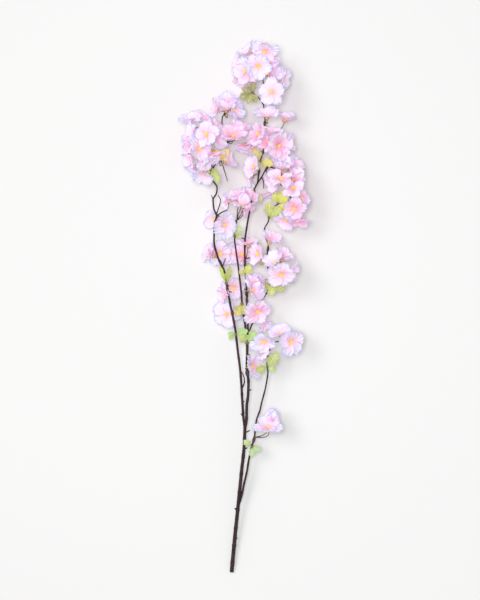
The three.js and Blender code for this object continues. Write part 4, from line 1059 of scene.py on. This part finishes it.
def barkMaterial():
    finish = barkFinish
    surface = Surface("darkBark")
    side, along = surface.place()
    tone = surface.tone()
    patch = surface.grain(surface.inObject(), finish["patchScale"], 4.0)
    fibre = surface.grain(surface.spot(side * 26.0, along * 0.16), 1.0, 4.0, 0.7)
    colour = surface.mix(surface.spread(patch, 0.35, 0.7), finish["dark"], finish["mid"])
    greyness = surface.spread(tone, 0.95, 0.3, finish["greyOnThick"], finish["greyOnThin"])
    colour = surface.mix(surface.spread(fibre, 0.5, 0.75) * greyness, colour, finish["grey"])
    # Lenticels: short pale bars across the bark.
    rows = surface.grain(surface.spot(side * 3.0, along * 0.9), 1.0, 1.0)
    bars = surface.spread(rows, 0.66, 0.74)
    colour = surface.mix(bars * finish["lenticelShare"], colour, finish["lenticel"])
    height = fibre * finish["bumpFibre"] + patch * finish["bumpPatch"] + bars * finish["bumpLenticel"]
    rough = surface.spread(fibre, 0.3, 0.7, *finish["roughness"])
    return surface.finish(finish, colour, height, {"Roughness": rough})


# The bunches: petals, yellow hearts and stalks, one piece of each for every bunch
bunchBuild = {"seed": 700, "toneSpread": 0.25, "petalSpread": 0.3}
petalCloth, pollenYellow, stalkSkin = petalMaterial(), heartMaterial(), stalkMaterial()
petalCount = 0
for number, (name, (warmth, stalk, blooms)) in enumerate(bunches.items()):
    node = "blossoms_" + name
    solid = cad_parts[node].data
    corners = [vertex.co.copy() for vertex in solid.vertices]
    tree = BVHTree.FromPolygons(corners, [polygon.vertices[:] for polygon in solid.polygons])
    petals, hearts, stalks = Heap(), Heap(), Heap()
    draw = np.random.default_rng(bunchBuild["seed"] + number)
    addJoint(stalks, stalk)
    for i, bloom in enumerate(blooms):
        bloomTone = warmth + bunchBuild["toneSpread"] * draw.uniform(-1, 1)
        for k in range(bloomShape["petals"]):
            lift = petalLift(bloom, k, number * 100 + i * 10, tree)
            tone = min(1, max(0, bloomTone + bunchBuild["petalSpread"] * draw.uniform(-1, 1)))
            addPetal(petals, bloom, k, lift, draw, tone)
            petalCount += 1
        addHeart(hearts, bloom, draw)
        addStalk(stalks, bloom, stalk)
    petals.build("petals_" + name, petalCloth, "blossom", node)
    hearts.build("stamens_" + name, pollenYellow, "blossom", node)
    stalks.build("stalks_" + name, stalkSkin, "blossom", node)
print("bunches built,", petalCount, "petals")

tuftBuild = {"seed": 300}
leafCloth = leafMaterial()
for number, (name, tuft) in enumerate(tufts.items()):
    leaves = Heap()
    addTuft(leaves, tuft, np.random.default_rng(tuftBuild["seed"] + number))
    leaves.build("foliage_" + name, leafCloth, "leaf", "leaves_" + name)
print("leaves built")

wood = Heap()
addBranch(wood)
wood.build("bark", barkMaterial(), "bark", "branch")
print("bark built")


# The surface, the lights and the camera
studio = {
    "floorSize": 80.0, "skyStrength": 0.40,
    "lampPlace": (-0.2, 0.15, 3.7), "lampSize": 1.0, "lampPower": 61.0,
    "sunFrom": (-0.62, 0.30, 1.0), "sunStrength": 0.86, "sunSpread": 28,
    "lens": 100.0, "sensorWidth": 36, "cameraPlace": (-0.0082, 0.01735, 3.388),
}
floorFinish = {
    "tone": (0.955, 0.955, 0.953), "roughness": 0.9, "specular": 0.1,
    "plasterScale": 24.0, "bumpStrength": 0.12, "bumpDepth": 0.002,
}


def floorMaterial():
    finish = floorFinish
    surface = Surface("paleFloor")
    plaster = surface.grain(surface.inObject(), finish["plasterScale"], 4.0)
    return surface.finish(finish, (*linear(finish["tone"]), 1), plaster)


# Adds an object to the scene, aimed at the middle of the frame unless it is told not to be.
def placed(name, data, place, aimed=True):
    made = bpy.data.objects.new(name, data)
    made.location = place
    if aimed:
        made.rotation_euler = (-Vector(place)).to_track_quat("-Z", "Y").to_euler()
    bpy.context.scene.collection.objects.link(made)
    return made


half = studio["floorSize"] / 2
floorMesh = bpy.data.meshes.new("floor")
floorCorners = [(-half, -half, 0), (half, -half, 0), (half, half, 0), (-half, half, 0)]
floorMesh.from_pydata(floorCorners, [], [(0, 1, 2, 3)])
floorMesh.materials.append(floorMaterial())
placed("floor", floorMesh, (0, 0, 0), aimed=False)

world = bpy.data.worlds.new("sky")
world.use_nodes = True
sky = world.node_tree.nodes["Background"]
sky.inputs["Color"].default_value = (1, 1, 1, 1)
sky.inputs["Strength"].default_value = studio["skyStrength"]
bpy.context.scene.world = world

lamp = bpy.data.lights.new("overhead", "AREA")
lamp.energy = studio["lampPower"]
lamp.shape = "DISK"
lamp.size = studio["lampSize"]
placed("overhead", lamp, studio["lampPlace"])

sun = bpy.data.lights.new("sun", "SUN")
sun.energy = studio["sunStrength"]
sun.angle = math.radians(studio["sunSpread"])
placed("sun", sun, studio["sunFrom"])

camera = bpy.data.cameras.new("camera")
camera.lens = studio["lens"]
camera.sensor_width = studio["sensorWidth"]
bpy.context.scene.camera = placed("camera", camera, studio["cameraPlace"], aimed=False)

view = bpy.context.scene.view_settings
view.view_transform = "Standard"
view.look = "None"
print("studio ready")
